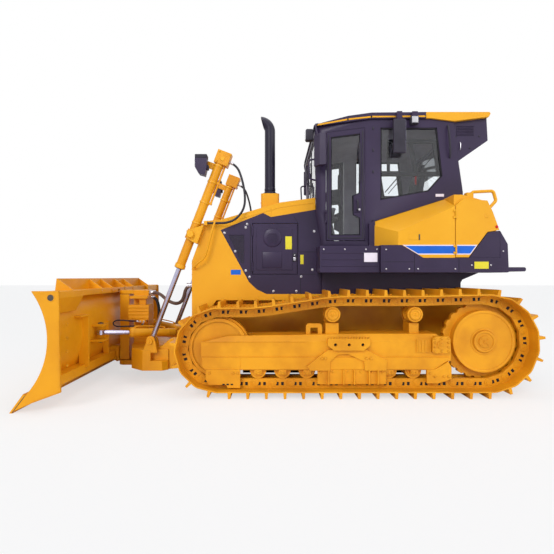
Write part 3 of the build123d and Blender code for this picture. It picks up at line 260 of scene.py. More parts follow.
# %% Chrome and bare steel
chrome = paint(
    "rod_chrome",
    (0.47, 0.46, 0.60),
    (0.40, 0.39, 0.52),
    0.26,
    metallic=1.0,
    ripple=0.0001,
    edge=0.0,
)
zinc = paint(
    "zinc_bolt",
    (0.60, 0.58, 0.62),
    (0.48, 0.46, 0.50),
    0.30,
    metallic=0.9,
    tone_scale=9.0,
    edge=0.0,
)
# Dark steel for pins and catches. It is also the painted shade in the end plates' holes.
pin_steel_and_hole_shade = paint(
    "pin_steel_and_hole_shade",
    (0.10, 0.085, 0.075),
    (0.06, 0.05, 0.045),
    0.45,
    metallic=0.6,
    tone_scale=12.0,
    edge=0.0,
)
rubber = paint(
    "hose_rubber",
    (0.030, 0.028, 0.036),
    (0.020, 0.019, 0.026),
    0.50,
    tone_scale=14.0,
    ripple=0.0006,
    edge=0.0,
)
# Near-black rubber for gaskets and seams. It is also painted shade: in the link pockets, the frame's slots
# and holes, and the gaps between the rollers.
gasket_and_shade_black = paint("gasket_rubber_and_painted_shade", (0.010, 0.009, 0.013), (0.007, 0.006, 0.010), 0.62, tone_scale=10.0, edge=0.0)
plastic = paint(
    "grey_plastic",
    (0.11, 0.10, 0.125),
    (0.085, 0.078, 0.10),
    0.55,
    tone_scale=6.0,
    ripple=0.0005,
    edge=0.003,
)
trim = paint(
    "trim_plastic",
    (0.035, 0.031, 0.045),
    (0.026, 0.023, 0.034),
    0.6,
    tone_scale=6.0,
    ripple=0.0006,
    edge=0.003,
)
print("metals", chrome.name, zinc.name, pin_steel_and_hole_shade.name)

# %% Glass and lens
def clear(name, colour, roughness, share_clear):
    made = bpy.data.materials.new(name)
    made.use_nodes = True
    tree = made.node_tree
    shader = tree.nodes["Principled BSDF"]
    shader.inputs["Base Color"].default_value = (*colour, 1)
    shader.inputs["Transmission Weight"].default_value = share_clear
    shader.inputs["IOR"].default_value = 1.45
    where = node_of(tree, "ShaderNodeTexCoord")
    film = node_of(tree, "ShaderNodeTexNoise")
    film.inputs["Scale"].default_value = 3.0
    rough = node_of(tree, "ShaderNodeMapRange")
    rough.inputs["To Min"].default_value = roughness * 0.5
    rough.inputs["To Max"].default_value = roughness * 1.5
    tree.links.new(where.outputs["Object"], film.inputs["Vector"])
    tree.links.new(film.outputs["Fac"], rough.inputs["Value"])
    tree.links.new(rough.outputs["Result"], shader.inputs["Roughness"])
    return made


window = clear("window_glass", (0.93, 0.96, 0.98), 0.015, 1.0)
lens = clear("lamp_lens", (0.80, 0.80, 0.84), 0.12, 0.35)
print("clear", window.name, lens.name)

# %% Cloth and sleeve
def woven(name, colour, thread, scale, turn=0.0, roughness=0.85):
    made = bpy.data.materials.new(name)
    made.use_nodes = True
    tree = made.node_tree
    shader = tree.nodes["Principled BSDF"]
    shader.inputs["Roughness"].default_value = roughness
    shader.inputs["Sheen Weight"].default_value = 0.15
    where = node_of(tree, "ShaderNodeTexCoord")
    turned = node_of(tree, "ShaderNodeMapping")
    turned.inputs["Rotation"].default_value = (turn, turn, turn)
    one = node_of(tree, "ShaderNodeTexWave", bands_direction="X")
    two = node_of(tree, "ShaderNodeTexWave", bands_direction="Z")
    both = node_of(tree, "ShaderNodeMath", operation="MULTIPLY")
    mix = node_of(tree, "ShaderNodeMix", data_type="RGBA")
    mix.inputs["A"].default_value = (*colour, 1)
    mix.inputs["B"].default_value = (*thread, 1)
    bump = node_of(tree, "ShaderNodeBump")
    bump.inputs["Strength"].default_value = 0.5
    bump.inputs["Distance"].default_value = 0.001
    links = tree.links
    links.new(where.outputs["Object"], turned.inputs["Vector"])
    for wave in (one, two):
        wave.inputs["Scale"].default_value = scale
        wave.inputs["Distortion"].default_value = 1.2
        links.new(turned.outputs["Vector"], wave.inputs["Vector"])
    links.new(one.outputs["Fac"], both.inputs[0])
    links.new(two.outputs["Fac"], both.inputs[1])
    links.new(both.outputs[0], mix.inputs["Factor"])
    links.new(mix.outputs["Result"], shader.inputs["Base Color"])
    links.new(both.outputs[0], bump.inputs["Height"])
    links.new(bump.outputs["Normal"], shader.inputs["Normal"])
    return made


seat_cloth = woven("seat_cloth", (0.030, 0.028, 0.040), (0.085, 0.080, 0.105), 60.0)
sleeve = woven("braided_sleeve", (0.060, 0.030, 0.022), (0.22, 0.12, 0.075), 70.0, turn=0.7)
print("woven", seat_cloth.name, sleeve.name)

# %% Labels and lamps colours
label_yellow = paint("label_yellow", (0.75, 0.66, 0.04), (0.70, 0.60, 0.03), 0.45, tone_scale=8.0, edge=0.0)
label_white = paint("label_white", (0.78, 0.72, 0.80), (0.72, 0.66, 0.74), 0.45, tone_scale=8.0, edge=0.0)
label_blue = paint("label_blue", (0.010, 0.130, 0.62), (0.008, 0.105, 0.52), 0.4, tone_scale=5.0, edge=0.0)
red = paint("marker_red", (0.62, 0.012, 0.012), (0.50, 0.010, 0.010), 0.3, tone_scale=9.0, edge=0.0)
print("labels are blank")

# %% Paint each ready-made part
FINISHES = {
    "body_yellow": yellow,
    "body_dark": dark,
    "undercarriage_yellow": chassis_yellow,
    "blade_yellow": blade_yellow,
    "rod_chrome": chrome,
    "glass": window,
    "steel_dark": iron,
    "interior": plastic,
    "seat_fabric": seat_cloth,
    "stack_black": stack_black,
    "hose_rubber": rubber,
    "hose_sleeve": sleeve,
}
for part in frame["record"]["subparts"]:
    node = frame["nodes"][part["node"]]
    for place in node.material_slots:
        place.material = FINISHES[part["material_slot"]]
print("finishes", len(FINISHES))

# %% [markdown]
# ## Tools for new parts
# Every small part starts as one of bmesh's own shapes, is set in place in millimetres, and is
# turned into an object at the end. One helper scales it to metres, mirrors it for the right side
# where needed, sets its finish and lets it ride on a body of the machine.

# %% Finish a piece
MM = 0.001
SMOOTH_ANGLE = radians(38)
made_pieces = []


def mirrored(bm):
    bmesh.ops.scale(bm, vec=(1, -1, 1), verts=bm.verts[:])
    bmesh.ops.reverse_faces(bm, faces=bm.faces[:])


def on_both_sides(bm):
    copy = bmesh.ops.duplicate(bm, geom=bm.verts[:] + bm.edges[:] + bm.faces[:])["geom"]
    points = [g for g in copy if isinstance(g, bmesh.types.BMVert)]
    faces = [g for g in copy if isinstance(g, bmesh.types.BMFace)]
    bmesh.ops.scale(bm, vec=(1, -1, 1), verts=points)
    bmesh.ops.reverse_faces(bm, faces=faces)


def add_piece(bm, name, material, body):
    bmesh.ops.scale(bm, vec=(MM, MM, MM), verts=bm.verts[:])
    mesh = bpy.data.meshes.new(name)
    bm.to_mesh(mesh)
    bm.free()
    mesh.materials.append(material)
    mesh.shade_smooth()
    mesh.set_sharp_from_angle(angle=SMOOTH_ANGLE)
    piece = bpy.data.objects.new(name, mesh)
    bpy.context.scene.collection.objects.link(piece)
    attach(piece, body)
    made_pieces.append(piece)
    return piece


def add_pair(build, name, material, left_body, right_body):
    for word, body in (("left", left_body), ("right", right_body)):
        bm = bmesh.new()
        build(bm)
        if word == "right":
            mirrored(bm)
        add_piece(bm, name + "_" + word, material, body)


print("smooth below", round(SMOOTH_ANGLE, 2), "radians")

# %% Shapes
LEFT = Vector((0, -1, 0))
UP = Vector((0, 0, 1))
FRONT = Vector((-1, 0, 0))
REAR = Vector((1, 0, 0))


def stand(at, axis, roll=0.0):
    turn = Vector(axis).to_track_quat("Z", "Y").to_matrix().to_4x4()
    return Matrix.Translation(Vector(at)) @ turn @ Matrix.Rotation(roll, 4, "Z")


def brick(bm, x, y, z, bevel=0.0, segments=2):
    made = bmesh.ops.create_cube(bm, size=1.0)["verts"]
    size = (abs(x[1] - x[0]), abs(y[1] - y[0]), abs(z[1] - z[0]))
    bmesh.ops.scale(bm, vec=size, verts=made)
    bmesh.ops.translate(bm, vec=(sum(x) / 2, sum(y) / 2, sum(z) / 2), verts=made)
    if bevel:
        edges = list({e for v in made for e in v.link_edges})
        cut = bmesh.ops.bevel(
            bm, geom=edges, offset=bevel, segments=segments, profile=0.5, affect="EDGES", material=-1
        )
        made = list({v for f in cut["faces"] for v in f.verts})
    return made


def turned_brick(bm, at, axis, size, roll=0.0, bevel=0.0):
    half = [v / 2 for v in size]
    made = brick(bm, (-half[0], half[0]), (-half[1], half[1]), (0, size[2]), bevel)
    bmesh.ops.transform(bm, matrix=stand(at, axis, roll), verts=made)
    return made


def drum(bm, at, axis, r, h, top=None, sides=28):
    axis = Vector(axis).normalized()
    centre = Vector(at) + axis * (h / 2)
    return bmesh.ops.create_cone(
        bm,
        cap_ends=True,
        segments=sides,
        radius1=r,
        radius2=r if top is None else top,
        depth=h,
        matrix=stand(centre, axis),
    )["verts"]


def ring(bm, at, axis, inner, outer, h, sides=36, round_off=0.25):
    lift = h * round_off
    step = (outer - inner) * round_off
    profile = [
        (inner, 0),
        (inner, h - lift),
        (inner + step, h),
        (outer - step, h),
        (outer, h - lift),
        (outer, 0),
    ]
    corners = [bm.verts.new((r, 0, z)) for r, z in profile]
    edges = [bm.edges.new(pair) for pair in zip(corners, corners[1:] + corners[:1])]
    bmesh.ops.spin(
        bm,
        geom=corners + edges,
        axis=(0, 0, 1),
        cent=(0, 0, 0),
        steps=sides,
        angle=2 * pi,
        use_merge=True,
    )
    verts = set(corners)
    front = list(corners)
    while front:
        v = front.pop()
        for e in v.link_edges:
            other = e.other_vert(v)
            if other not in verts:
                verts.add(other)
                front.append(other)
    faces = list({f for v in verts for f in v.link_faces})
    bmesh.ops.recalc_face_normals(bm, faces=faces)
    bmesh.ops.transform(bm, matrix=stand(at, axis), verts=list(verts))


def bolt(bm, at, axis, r=11.0, h=9.0, washer=True):
    axis = Vector(axis).normalized()
    base = Vector(at)
    if washer:
        drum(bm, base, axis, r * 1.45, h * 0.3, top=r * 1.4, sides=14)
        base = base + axis * (h * 0.3)
    drum(bm, base, axis, r, h * 0.62, sides=6)
    drum(bm, base + axis * (h * 0.62), axis, r * 0.92, h * 0.16, top=r * 0.72, sides=12)


def dome(bm, at, axis, r, h):
    made = bmesh.ops.create_uvsphere(bm, u_segments=14, v_segments=8, radius=1.0)["verts"]
    bmesh.ops.scale(bm, vec=(r, r, h), verts=made)
    bmesh.ops.transform(bm, matrix=stand(at, axis), verts=made)


def slab(bm, outline, y0, y1):
    low = bm.faces.new([bm.verts.new((x, y0, z)) for x, z in outline])
    up = bmesh.ops.extrude_face_region(bm, geom=[low])["geom"]
    moved = [g for g in up if isinstance(g, bmesh.types.BMVert)]
    bmesh.ops.translate(bm, vec=(0, y1 - y0, 0), verts=moved)
    faces = list({f for v in moved for f in v.link_faces} | {low})
    bmesh.ops.recalc_face_normals(bm, faces=faces)
    return moved


def strip(bm, a, b, y, width, height):
    a, b = Vector((a[0], y, a[1])), Vector((b[0], y, b[1]))
    along = (b - a).normalized()
    made = brick(bm, (0, (b - a).length), (-height, 0), (-width / 2, width / 2))
    side = LEFT
    across = along.cross(side)
    turn = Matrix((along, -side, across)).transposed().to_4x4()
    bmesh.ops.transform(bm, matrix=Matrix.Translation(a) @ turn, verts=made)
    return made


def bar(bm, points, r, sides=10, smooth=True):
    data = bpy.data.curves.new("guide", "CURVE")
    data.dimensions = "3D"
    line = data.splines.new("NURBS" if smooth else "POLY")
    line.points.add(len(points) - 1)
    for place, point in zip(line.points, points):
        place.co = (*point, 1)
    if smooth:
        line.order_u = 3
        line.use_endpoint_u = True
        line.resolution_u = 6
    data.bevel_depth = r
    data.bevel_resolution = sides // 4
    data.use_fill_caps = True
    guide = bpy.data.objects.new("guide", data)
    bpy.context.scene.collection.objects.link(guide)
    bpy.context.view_layer.update()
    ready = bpy.data.meshes.new_from_object(guide.evaluated_get(bpy.context.evaluated_depsgraph_get()))
    bm.from_mesh(ready)
    bpy.data.objects.remove(guide)
    bpy.data.meshes.remove(ready)


print("shapes ready")

# %% [markdown]
# ## Hoses
# A hydraulic hose is a stiff rubber tube with steel wire inside, so it takes wide curves and leaves
# its fitting straight. A smooth spline through a few guide points gives that line, and a tube mesh
# follows it. The hoses at the lift cylinders and at the blade bend when the blade moves, but these
# meshes are fixed in place and ride on no body.

# %% Spline tubes
def spline_points(points):
    data = bpy.data.curves.new("route", "CURVE")
    data.dimensions = "3D"
    line = data.splines.new("NURBS")
    line.points.add(len(points) - 1)
    for place, point in zip(line.points, points):
        place.co = (*[v * MM for v in point], 1)
    line.order_u = 3
    line.use_endpoint_u = True
    line.resolution_u = 8
    guide = bpy.data.objects.new("route", data)
    bpy.context.scene.collection.objects.link(guide)
    bpy.context.view_layer.update()
    depsgraph = bpy.context.evaluated_depsgraph_get()
    bare = bpy.data.meshes.new_from_object(guide.evaluated_get(depsgraph))
    route = [v.co.copy() for v in bare.vertices]
    return guide, route


def hose(name, points, r, material, node):
    guide, route = spline_points(points)
    guide.data.bevel_depth = r * MM
    guide.data.bevel_resolution = 4
    guide.data.use_fill_caps = True
    bpy.context.view_layer.update()
    depsgraph = bpy.context.evaluated_depsgraph_get()
    mesh = bpy.data.meshes.new_from_object(guide.evaluated_get(depsgraph))
    mesh.name = name
    bpy.data.objects.remove(guide)
    mesh.materials.clear()
    mesh.materials.append(material)
    mesh.shade_smooth()
    piece = bpy.data.objects.new(name, mesh)
    bpy.context.scene.collection.objects.link(piece)
    if node:
        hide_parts(node)
    length = sum((b - a).length for a, b in zip(route, route[1:]))
    print(name, "length", round(length, 3))
    return piece, route, length


# %% Lift cylinder hoses
TRUNNION = Vector((-1205.265, -620.0, 1850.0))
LEAN = Vector((0.385, 0, 1)).normalized()
ASIDE = Vector((LEAN.z, 0, -LEAN.x))
HOIST_HOSE_R = 14.0
hose_top = TRUNNION + LEAN * 1010 + ASIDE * 110
HOIST_ROUTE = [
    hose_top,
    hose_top + ASIDE * 95,
    Vector((-585, -655, 2560)),
    Vector((-540, -695, 2350)),
    Vector((-545, -712, 2170)),
    Vector((-640, -714, 2040)),
    Vector((-755, -706, 1992)),
    Vector((-880, -700, 1988)),
    Vector((-1000, -700, 1988)),
]
for word, side in (("left", 1), ("right", -1)):
    points = [(p.x, side * p.y, p.z) for p in HOIST_ROUTE]
    piece, route, length = hose(
        "hoist_hose_" + word,
        points,
        HOIST_HOSE_R,
        rubber,
        "hoist_hoses",
    )
    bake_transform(piece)

# %% Blade hose in its brown sleeve
FRONT_HOSE_R = 22.0
FRONT_ROUTE = [
    (-1900, -60, 1118),
    (-1825, -60, 1118),
    (-1715, -170, 1095),
    (-1600, -280, 1015),
    (-1450, -400, 975),
    (-1340, -500, 1030),
    (-1290, -560, 1225),
    (-1204, -560, 1225),
]
piece, route, length = hose(
    "front_hose_sleeved",
    FRONT_ROUTE,
    FRONT_HOSE_R,
    sleeve,
    "front_hose",
)
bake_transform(piece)

# %% Hoses down the blade tower
FRAME_HOSE_R = 13.0
for word, y in (("one", -40), ("two", 20)):
    points = [
        (-1900, y, 1050),
        (-1830, y, 1050),
        (-1785, y - 12, 930),
        (-1775, y - 32, 800),
        (-1795, y - 30, 660),
        (-1840, y - 22, 540),
        (-1840, y - 22, 430),
    ]
    piece, route, length = hose(
        "frame_hose_" + word,
        points,
        FRAME_HOSE_R,
        rubber,
        "frame_hoses",
    )
    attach(piece, "push_frame_body")

# %% [markdown]
# ## Fittings at the hose ends
# Each hose ends in a crimped steel sleeve with a hexagon nut. Three short drums in a row read as
# that from every side. They stay on the body that the hose is screwed to.

# %% Hose fittings
def fitting(bm, at, axis, r):
    axis = Vector(axis).normalized()
    at = Vector(at)
    drum(bm, at, axis, r * 1.5, r * 0.9, sides=6)
    drum(bm, at + axis * (r * 0.9), axis, r * 1.15, r * 0.5, sides=20)
    drum(bm, at + axis * (r * 1.4), axis, r * 1.32, r * 2.2, sides=20)


def hoist_fittings(bm):
    fitting(bm, hose_top, ASIDE, HOIST_HOSE_R)


add_pair(hoist_fittings, "hoist_fitting", zinc, "left_hoist_barrel", "right_hoist_barrel")
bm = bmesh.new()
fitting(bm, (-1000, -700, 1988), FRONT, HOIST_HOSE_R)
on_both_sides(bm)
fitting(bm, (-1204, -560, 1225), FRONT, FRONT_HOSE_R)
add_piece(bm, "guard_hose_fittings", zinc, "machine")
bm = bmesh.new()
fitting(bm, (-1900, -60, 1118), REAR, FRONT_HOSE_R)
for y in (-40, 20):
    fitting(bm, (-1900, y, 1050), REAR, FRAME_HOSE_R)
    fitting(bm, (-1840, y - 22, 430), UP, FRAME_HOSE_R)
add_piece(bm, "tower_hose_fittings", zinc, "push_frame_body")
print("fittings on", len(made_pieces), "pieces")

# %% [markdown]
# ## Track chain
# A track is a chain of forged links with a steel shoe bolted to each pair. The solid model has the
# loop and its grousers. What makes it read as a chain is on the links: a round boss at each pin,
# two pockets for the shoe bolts, and the bolt heads on every shoe. The places are found by walking
# the same loop of lines and arcs, one shoe pitch at a time.

# %% Walk the track loop
GAUGE_HALF = 990.0
SHOE_COUNT = 43
PIN_OUT = 67.5
IDLER = (-814.0, 530.0, 465.0 - PIN_OUT)
SPROCKET = (2176.0, 603.0, 538.0 - PIN_OUT)
CARRIERS = (475.0, 1405.0)
CARRIER_Z = 905.5
TOP_RUN = 1122.0 - PIN_OUT
SAG = (-376.0, IDLER[1] + IDLER[2])
LOOP = [
    ("line", (IDLER[0], IDLER[1] - IDLER[2]), (SPROCKET[0], SPROCKET[1] - SPROCKET[2])),
    ("arc", SPROCKET, -90),
    ("line", (SPROCKET[0], SPROCKET[1] + SPROCKET[2]), (CARRIERS[1], TOP_RUN)),
    ("line", (CARRIERS[1], TOP_RUN), (CARRIERS[0], TOP_RUN)),
    ("line", (CARRIERS[0], TOP_RUN), SAG),
    ("line", SAG, (IDLER[0], IDLER[1] + IDLER[2])),
    ("arc", IDLER, 90),
]


def stretch(run):
    if run[0] == "line":
        return (Vector(run[2]) - Vector(run[1])).length
    return pi * run[1][2]


def spot(distance):
    for run in LOOP:
        length = stretch(run)
        if distance <= length:
            break
        distance -= length
    if run[0] == "line":
        return Vector(run[1]).lerp(Vector(run[2]), distance / length)
    angle = radians(run[2]) + distance / run[1][2]
    return Vector((run[1][0] + run[1][2] * cos(angle), run[1][1] + run[1][2] * sin(angle)))


loop_length = sum(stretch(run) for run in LOOP)
pins = [spot(loop_length * i / SHOE_COUNT) for i in range(SHOE_COUNT)]
shoes = []
for a, b in zip(pins, pins[1:] + pins[:1]):
    along = (b - a).normalized()
    shoes.append(((a + b) / 2, along, Vector((along.y, -along.x))))
print("pitch", round(loop_length / SHOE_COUNT, 1), "mm")

# %% Link bosses, pockets and shoe bolts
LINK_FACE = -GAUGE_HALF - 108.0


def on_loop(shoe, s, n, y):
    middle, along, out = shoe
    flat = middle + along * s + out * n
    return Vector((flat.x, y, flat.y))


def link_plates(bm):
    for shoe in shoes:
        drum(bm, on_loop(shoe, -92, -6, LINK_FACE), LEFT, 43, 5, sides=20)
        middle, along, out = shoe
        plate = brick(bm, (-96, 62), (-5.5, 0), (-44, 40), bevel=2.0, segments=1)
        turn = Matrix(((along.x, 0, out.x), (0, 1, 0), (along.y, 0, out.y))).to_4x4()
        bmesh.ops.transform(
            bm,
            matrix=Matrix.Translation(on_loop(shoe, 0, 0, LINK_FACE + 3)) @ turn,
            verts=plate,
        )


# The pockets are thin near-black patches on the links: painted shade in the recesses.
def link_pocket_shade(bm):
    for shoe in shoes:
        for s in (-44, 14):
            pocket_shade = brick(bm, (-15, 15), (-2.0, 0), (-19, 19), bevel=1.5, segments=1)
            middle, along, out = shoe
            turn = Matrix(((along.x, 0, out.x), (0, 1, 0), (along.y, 0, out.y))).to_4x4()
            place = Matrix.Translation(on_loop(shoe, s, 6, LINK_FACE - 2)) @ turn
            bmesh.ops.transform(bm, matrix=place, verts=pocket_shade)


def link_pins(bm):
    for shoe in shoes:
        drum(bm, on_loop(shoe, -101, 0, LINK_FACE - 4), LEFT, 21, 4, top=19, sides=16)


def shoe_bolts(bm):
    for shoe in shoes:
        out = Vector((shoe[2].x, 0, shoe[2].y))
        for y in (-GAUGE_HALF - 84, -GAUGE_HALF + 84):
            for s in (-70, -22):
                drum(bm, on_loop(shoe, s, PIN_OUT, y), out, 15, 12, sides=6)


add_pair(link_plates, "track_links", chassis_yellow, "machine", "machine")
add_pair(link_pocket_shade, "track_link_pocket_shade", gasket_and_shade_black, "machine", "machine")
add_pair(link_pins, "track_pins", chassis_yellow, "machine", "machine")
add_pair(shoe_bolts, "track_shoe_bolts", chassis_yellow, "machine", "machine")
print("shoes", len(shoes))

# %% [markdown]
# ## Wheels inside the track
# Rollers, idler and sprocket are turned parts, so their faces show rings: a rim, a hub and a cap
# with its bolts. A spun profile with slightly rounded corners gives each ring.

# %% Rings and caps on the wheels
def wheel_caps(bm):
    face = -GAUGE_HALF - 120
    for x in CARRIERS:
        ring(bm, (x, face, CARRIER_Z), LEFT, 38, 60, 12)
        drum(bm, (x, face, CARRIER_Z), LEFT, 40, 5)
        drum(bm, (x, face - 5, CARRIER_Z), LEFT, 18, 7, top=14)
        ring(bm, (x, -GAUGE_HALF - 114, CARRIER_Z), LEFT, 70, 86, 3)
    ring(bm, (IDLER[0], -GAUGE_HALF - 112, IDLER[1]), LEFT, 295, 318, 5, sides=48)
    ring(bm, (SPROCKET[0], face, SPROCKET[1]), LEFT, 318, 349, 8, sides=64)
    ring(bm, (SPROCKET[0], face, SPROCKET[1]), LEFT, 128, 150, 5, sides=48)
    hub = face - 18
    ring(bm, (SPROCKET[0], hub, SPROCKET[1]), LEFT, 98, 121, 8, sides=48)
    for k in range(4):
        turn = radians(45 + 90 * k)
        bolt(
            bm,
            (SPROCKET[0] + 44 * cos(turn), hub - 12, SPROCKET[1] + 44 * sin(turn)),
            LEFT,
            9,
            7,
            washer=False,
        )
    drum(bm, (SPROCKET[0], hub - 12, SPROCKET[1]), LEFT, 17, 8, sides=8)


add_pair(wheel_caps, "wheel_caps", chassis_yellow, "machine", "machine")

# %% Track frame fastenings
FRAME_FACE = -GAUGE_HALF - 160
BRACKET_BOLTS = (346, 385, 839, 889)
ROLLER_XS = (-366, -91, 184, 491, 799, 1106, 1381)


def frame_bolts(bm):
    for x in BRACKET_BOLTS:
        bolt(bm, (x, FRAME_FACE - 34, 425), LEFT, 14, 12)
    for x in (-900, -640, -590):
        bolt(bm, (x, FRAME_FACE - 26, 262), LEFT, 12, 10)
    for x in (1545, 1600, 1700, 1750):
        bolt(bm, (x, FRAME_FACE - 26, 225 if x > 1560 else 262), LEFT, 12, 10)
    for x in ROLLER_XS:
        if 298 > x or x > 1064:
            for k in (-22, 22):
                bolt(bm, (x + k, FRAME_FACE, 262), LEFT, 9, 8)
    for x in (336, 470, 640, 780, 910, 1020):
        bolt(bm, (x, FRAME_FACE - 6, 272), LEFT, 11, 10)
    for x in (1590, 1665, 1742):
        for z in (508, 650):
            bolt(bm, (x, FRAME_FACE - 48, z), LEFT, 10, 9)
    for z in (555, 605):
        for x in (1590, 1742):
            bolt(bm, (x, FRAME_FACE - 48, z), LEFT, 10, 9)
    for x in (1425, 1462, 1499, 1536):
        brick(bm, (x - 7, x + 7), (FRAME_FACE - 20, FRAME_FACE - 12), (498, 626), bevel=2.5)
    # weld beads along the frame's long band and at its front box
    for z in (437, 603):
        strip(bm, (-985, z), (175, z), FRAME_FACE, 9, 4)
    strip(bm, (1080, 437), (1395, 437), FRAME_FACE, 9, 4)
    strip(bm, (-560, 304), (-560, 432), FRAME_FACE - 14, 8, 3)
    drum(bm, (1665, FRAME_FACE - 48, 580), LEFT, 46, 8, sides=32)
    drum(bm, (1665, FRAME_FACE - 56, 580), LEFT, 20, 8, sides=20)


add_pair(frame_bolts, "track_frame_fastenings", chassis_yellow, "machine", "machine")
# Slots and round holes in the track frame are thin near-black patches: painted shade in the openings.
bm = bmesh.new()
for x in (-746, -700, -654):
    brick(bm, (x - 14, x + 14), (FRAME_FACE - 28, FRAME_FACE - 25), (128, 144), bevel=1.0)
for x in (490, 640, 790):
    drum(bm, (x, FRAME_FACE - 50.5, 583), LEFT, 16, 0.6, sides=20)
on_both_sides(bm)
add_piece(bm, "track_frame_slot_shade", gasket_and_shade_black, "machine")
# Near-black plates inside each track between the rollers: painted shade, so the gaps under the machine are
# dark and the white floor doesn't show through.
bm = bmesh.new()
brick(bm, (-556, 302), (-GAUGE_HALF + 140, -GAUGE_HALF + 148), (192, 289), bevel=2)
brick(bm, (1062, 1436), (-GAUGE_HALF + 140, -GAUGE_HALF + 148), (192, 289), bevel=2)
on_both_sides(bm)
add_piece(bm, "roller_gap_shade_plates", gasket_and_shade_black, "machine")
print("wheels and frame done")

# %% [markdown]
# ## Engine side: panels, vents and labels
# The dark engine side is sheet steel held by round-headed bolts. At its front is a vent with a
# punched screen behind it. A grid of thin bars makes the screen, because holes cut in a mesh cost
# far more faces. The labels of the real machine are left blank here.

# %% Panel bolts
SIDE_FACE = -640.0
PANEL_BOLTS = [
    (-536, 1944),
    (-800, 1876),
    (-667, 1648),
    (-536, 1410),
    (-490, 1331),
    (-193, 1155),
    (90, 1155),
    (150, 1334),
    (312, 1896),
    (290, 1420),
    (-520, 1985),
]
bm = bmesh.new()
for x, z in PANEL_BOLTS:
    drum(bm, (x, SIDE_FACE, z), LEFT, 15, 2, sides=20)
    dome(bm, (x, SIDE_FACE - 2, z), LEFT, 11, 8)
on_both_sides(bm)
add_piece(bm, "panel_bolts", zinc, "machine")

# %% Vent screen and panel seams
bm = bmesh.new()
VENT_TOP, VENT_LOW = 1850.0, 1500.0
for k in range(14):
    z = VENT_LOW + 15 + k * 24
    front = -590 - (z - VENT_LOW) * 160 / 350
    strip(bm, (front, z), (-555, z), SIDE_FACE + 7, 7, 3)
for k in range(9):
    x = -572 - k * 20
    low = VENT_LOW + max(0.0, (-590 - x) * 350 / 160)
    if low < VENT_TOP - 20:
        strip(bm, (x, low), (x, VENT_TOP), SIDE_FACE + 6, 5, 3)
on_both_sides(bm)
add_piece(bm, "vent_screen", trim, "machine")
bm = bmesh.new()
SEAMS = [
    ((142, 1120), (142, 1360)),
    ((-478, 1366), (-478, 1985)),
    ((142, 1364), (330, 1364)),
    ((118, 1640), (118, 1990)),
    ((118, 1640), (352, 1640)),
    ((60, 2080), (118, 1990)),
]
for a, b in SEAMS:
    strip(bm, a, b, SIDE_FACE + 0.5, 5, 2)
on_both_sides(bm)
add_piece(bm, "panel_seams", gasket_and_shade_black, "machine")

# %% Engine doors: pressed dome, latch and label
def engine_door_press(bm):
    face = SIDE_FACE - 5
    made = bmesh.ops.create_cone(bm, cap_ends=True, segments=40, radius1=117, radius2=92, depth=10)["verts"]
    bmesh.ops.transform(bm, matrix=stand((-205, face - 5, 1815), LEFT), verts=made)
    for k in range(5):
        z = 1860 - k * 24
        half = 78 - abs(1815 - z) * 0.55
        strip(bm, (-205 - half, z), (-205 + half, z), face - 10, 9, 4)
    brick(bm, (-330, -90), (face - 5, face), (1440, 1640), bevel=4)
    strip(bm, (-400, 1420), (-400, 1940), SIDE_FACE, 10, 4)


def engine_door_latch(bm):
    face = SIDE_FACE
    brick(bm, (46, 92), (face - 9, face), (1520, 1625), bevel=4)
    drum(bm, (69, face - 9, 1598), LEFT, 14, 4)


def engine_door_key(bm):
    dome(bm, (69, SIDE_FACE - 13, 1598), LEFT, 9, 5)
    brick(bm, (54, 84), (SIDE_FACE - 14, SIDE_FACE - 9), (1532, 1572), bevel=2)


def engine_door_label(bm):
    brick(bm, (-45, 35), (SIDE_FACE - 6.5, SIDE_FACE - 5), (1672, 1832), bevel=0.7, segments=1)


add_pair(engine_door_press, "engine_door_press", dark, "left_engine_door", "right_engine_door")
add_pair(engine_door_latch, "engine_door_latch", trim, "left_engine_door", "right_engine_door")
add_pair(engine_door_key, "engine_door_key", zinc, "left_engine_door", "right_engine_door")
add_pair(engine_door_label, "engine_door_label", label_yellow, "left_engine_door", "right_engine_door")

# %% Blank labels on the machine
def label(bm, x, z, face):
    brick(bm, x, (face - 1.2, face), z, bevel=0.6, segments=1)


BOX_FACE = -1100.0
STEP_FACE = -1060.0
bm = bmesh.new()
label(bm, (140, 181), (1488, 1604), SIDE_FACE)
label(bm, (2075, 2236), (1422, 1502), BOX_FACE)
on_both_sides(bm)
add_piece(bm, "yellow_labels", label_yellow, "machine")
bm = bmesh.new()
label(bm, (838, 990), (1500, 1604), STEP_FACE - 4)
on_both_sides(bm)
add_piece(bm, "white_labels", label_white, "machine")
bm = bmesh.new()
label(bm, (-721, -598), (1357, 1419), SIDE_FACE)
on_both_sides(bm)
add_piece(bm, "blue_labels", label_blue, "machine")
print("labels left blank")

# %% [markdown]
# ## Hood and radiator guard
# A thin fold runs along the hood where its top and side plates meet. At the front a bent bar keeps
# the lift hoses off the guard. The front grille is a set of vertical and level bars in a frame.

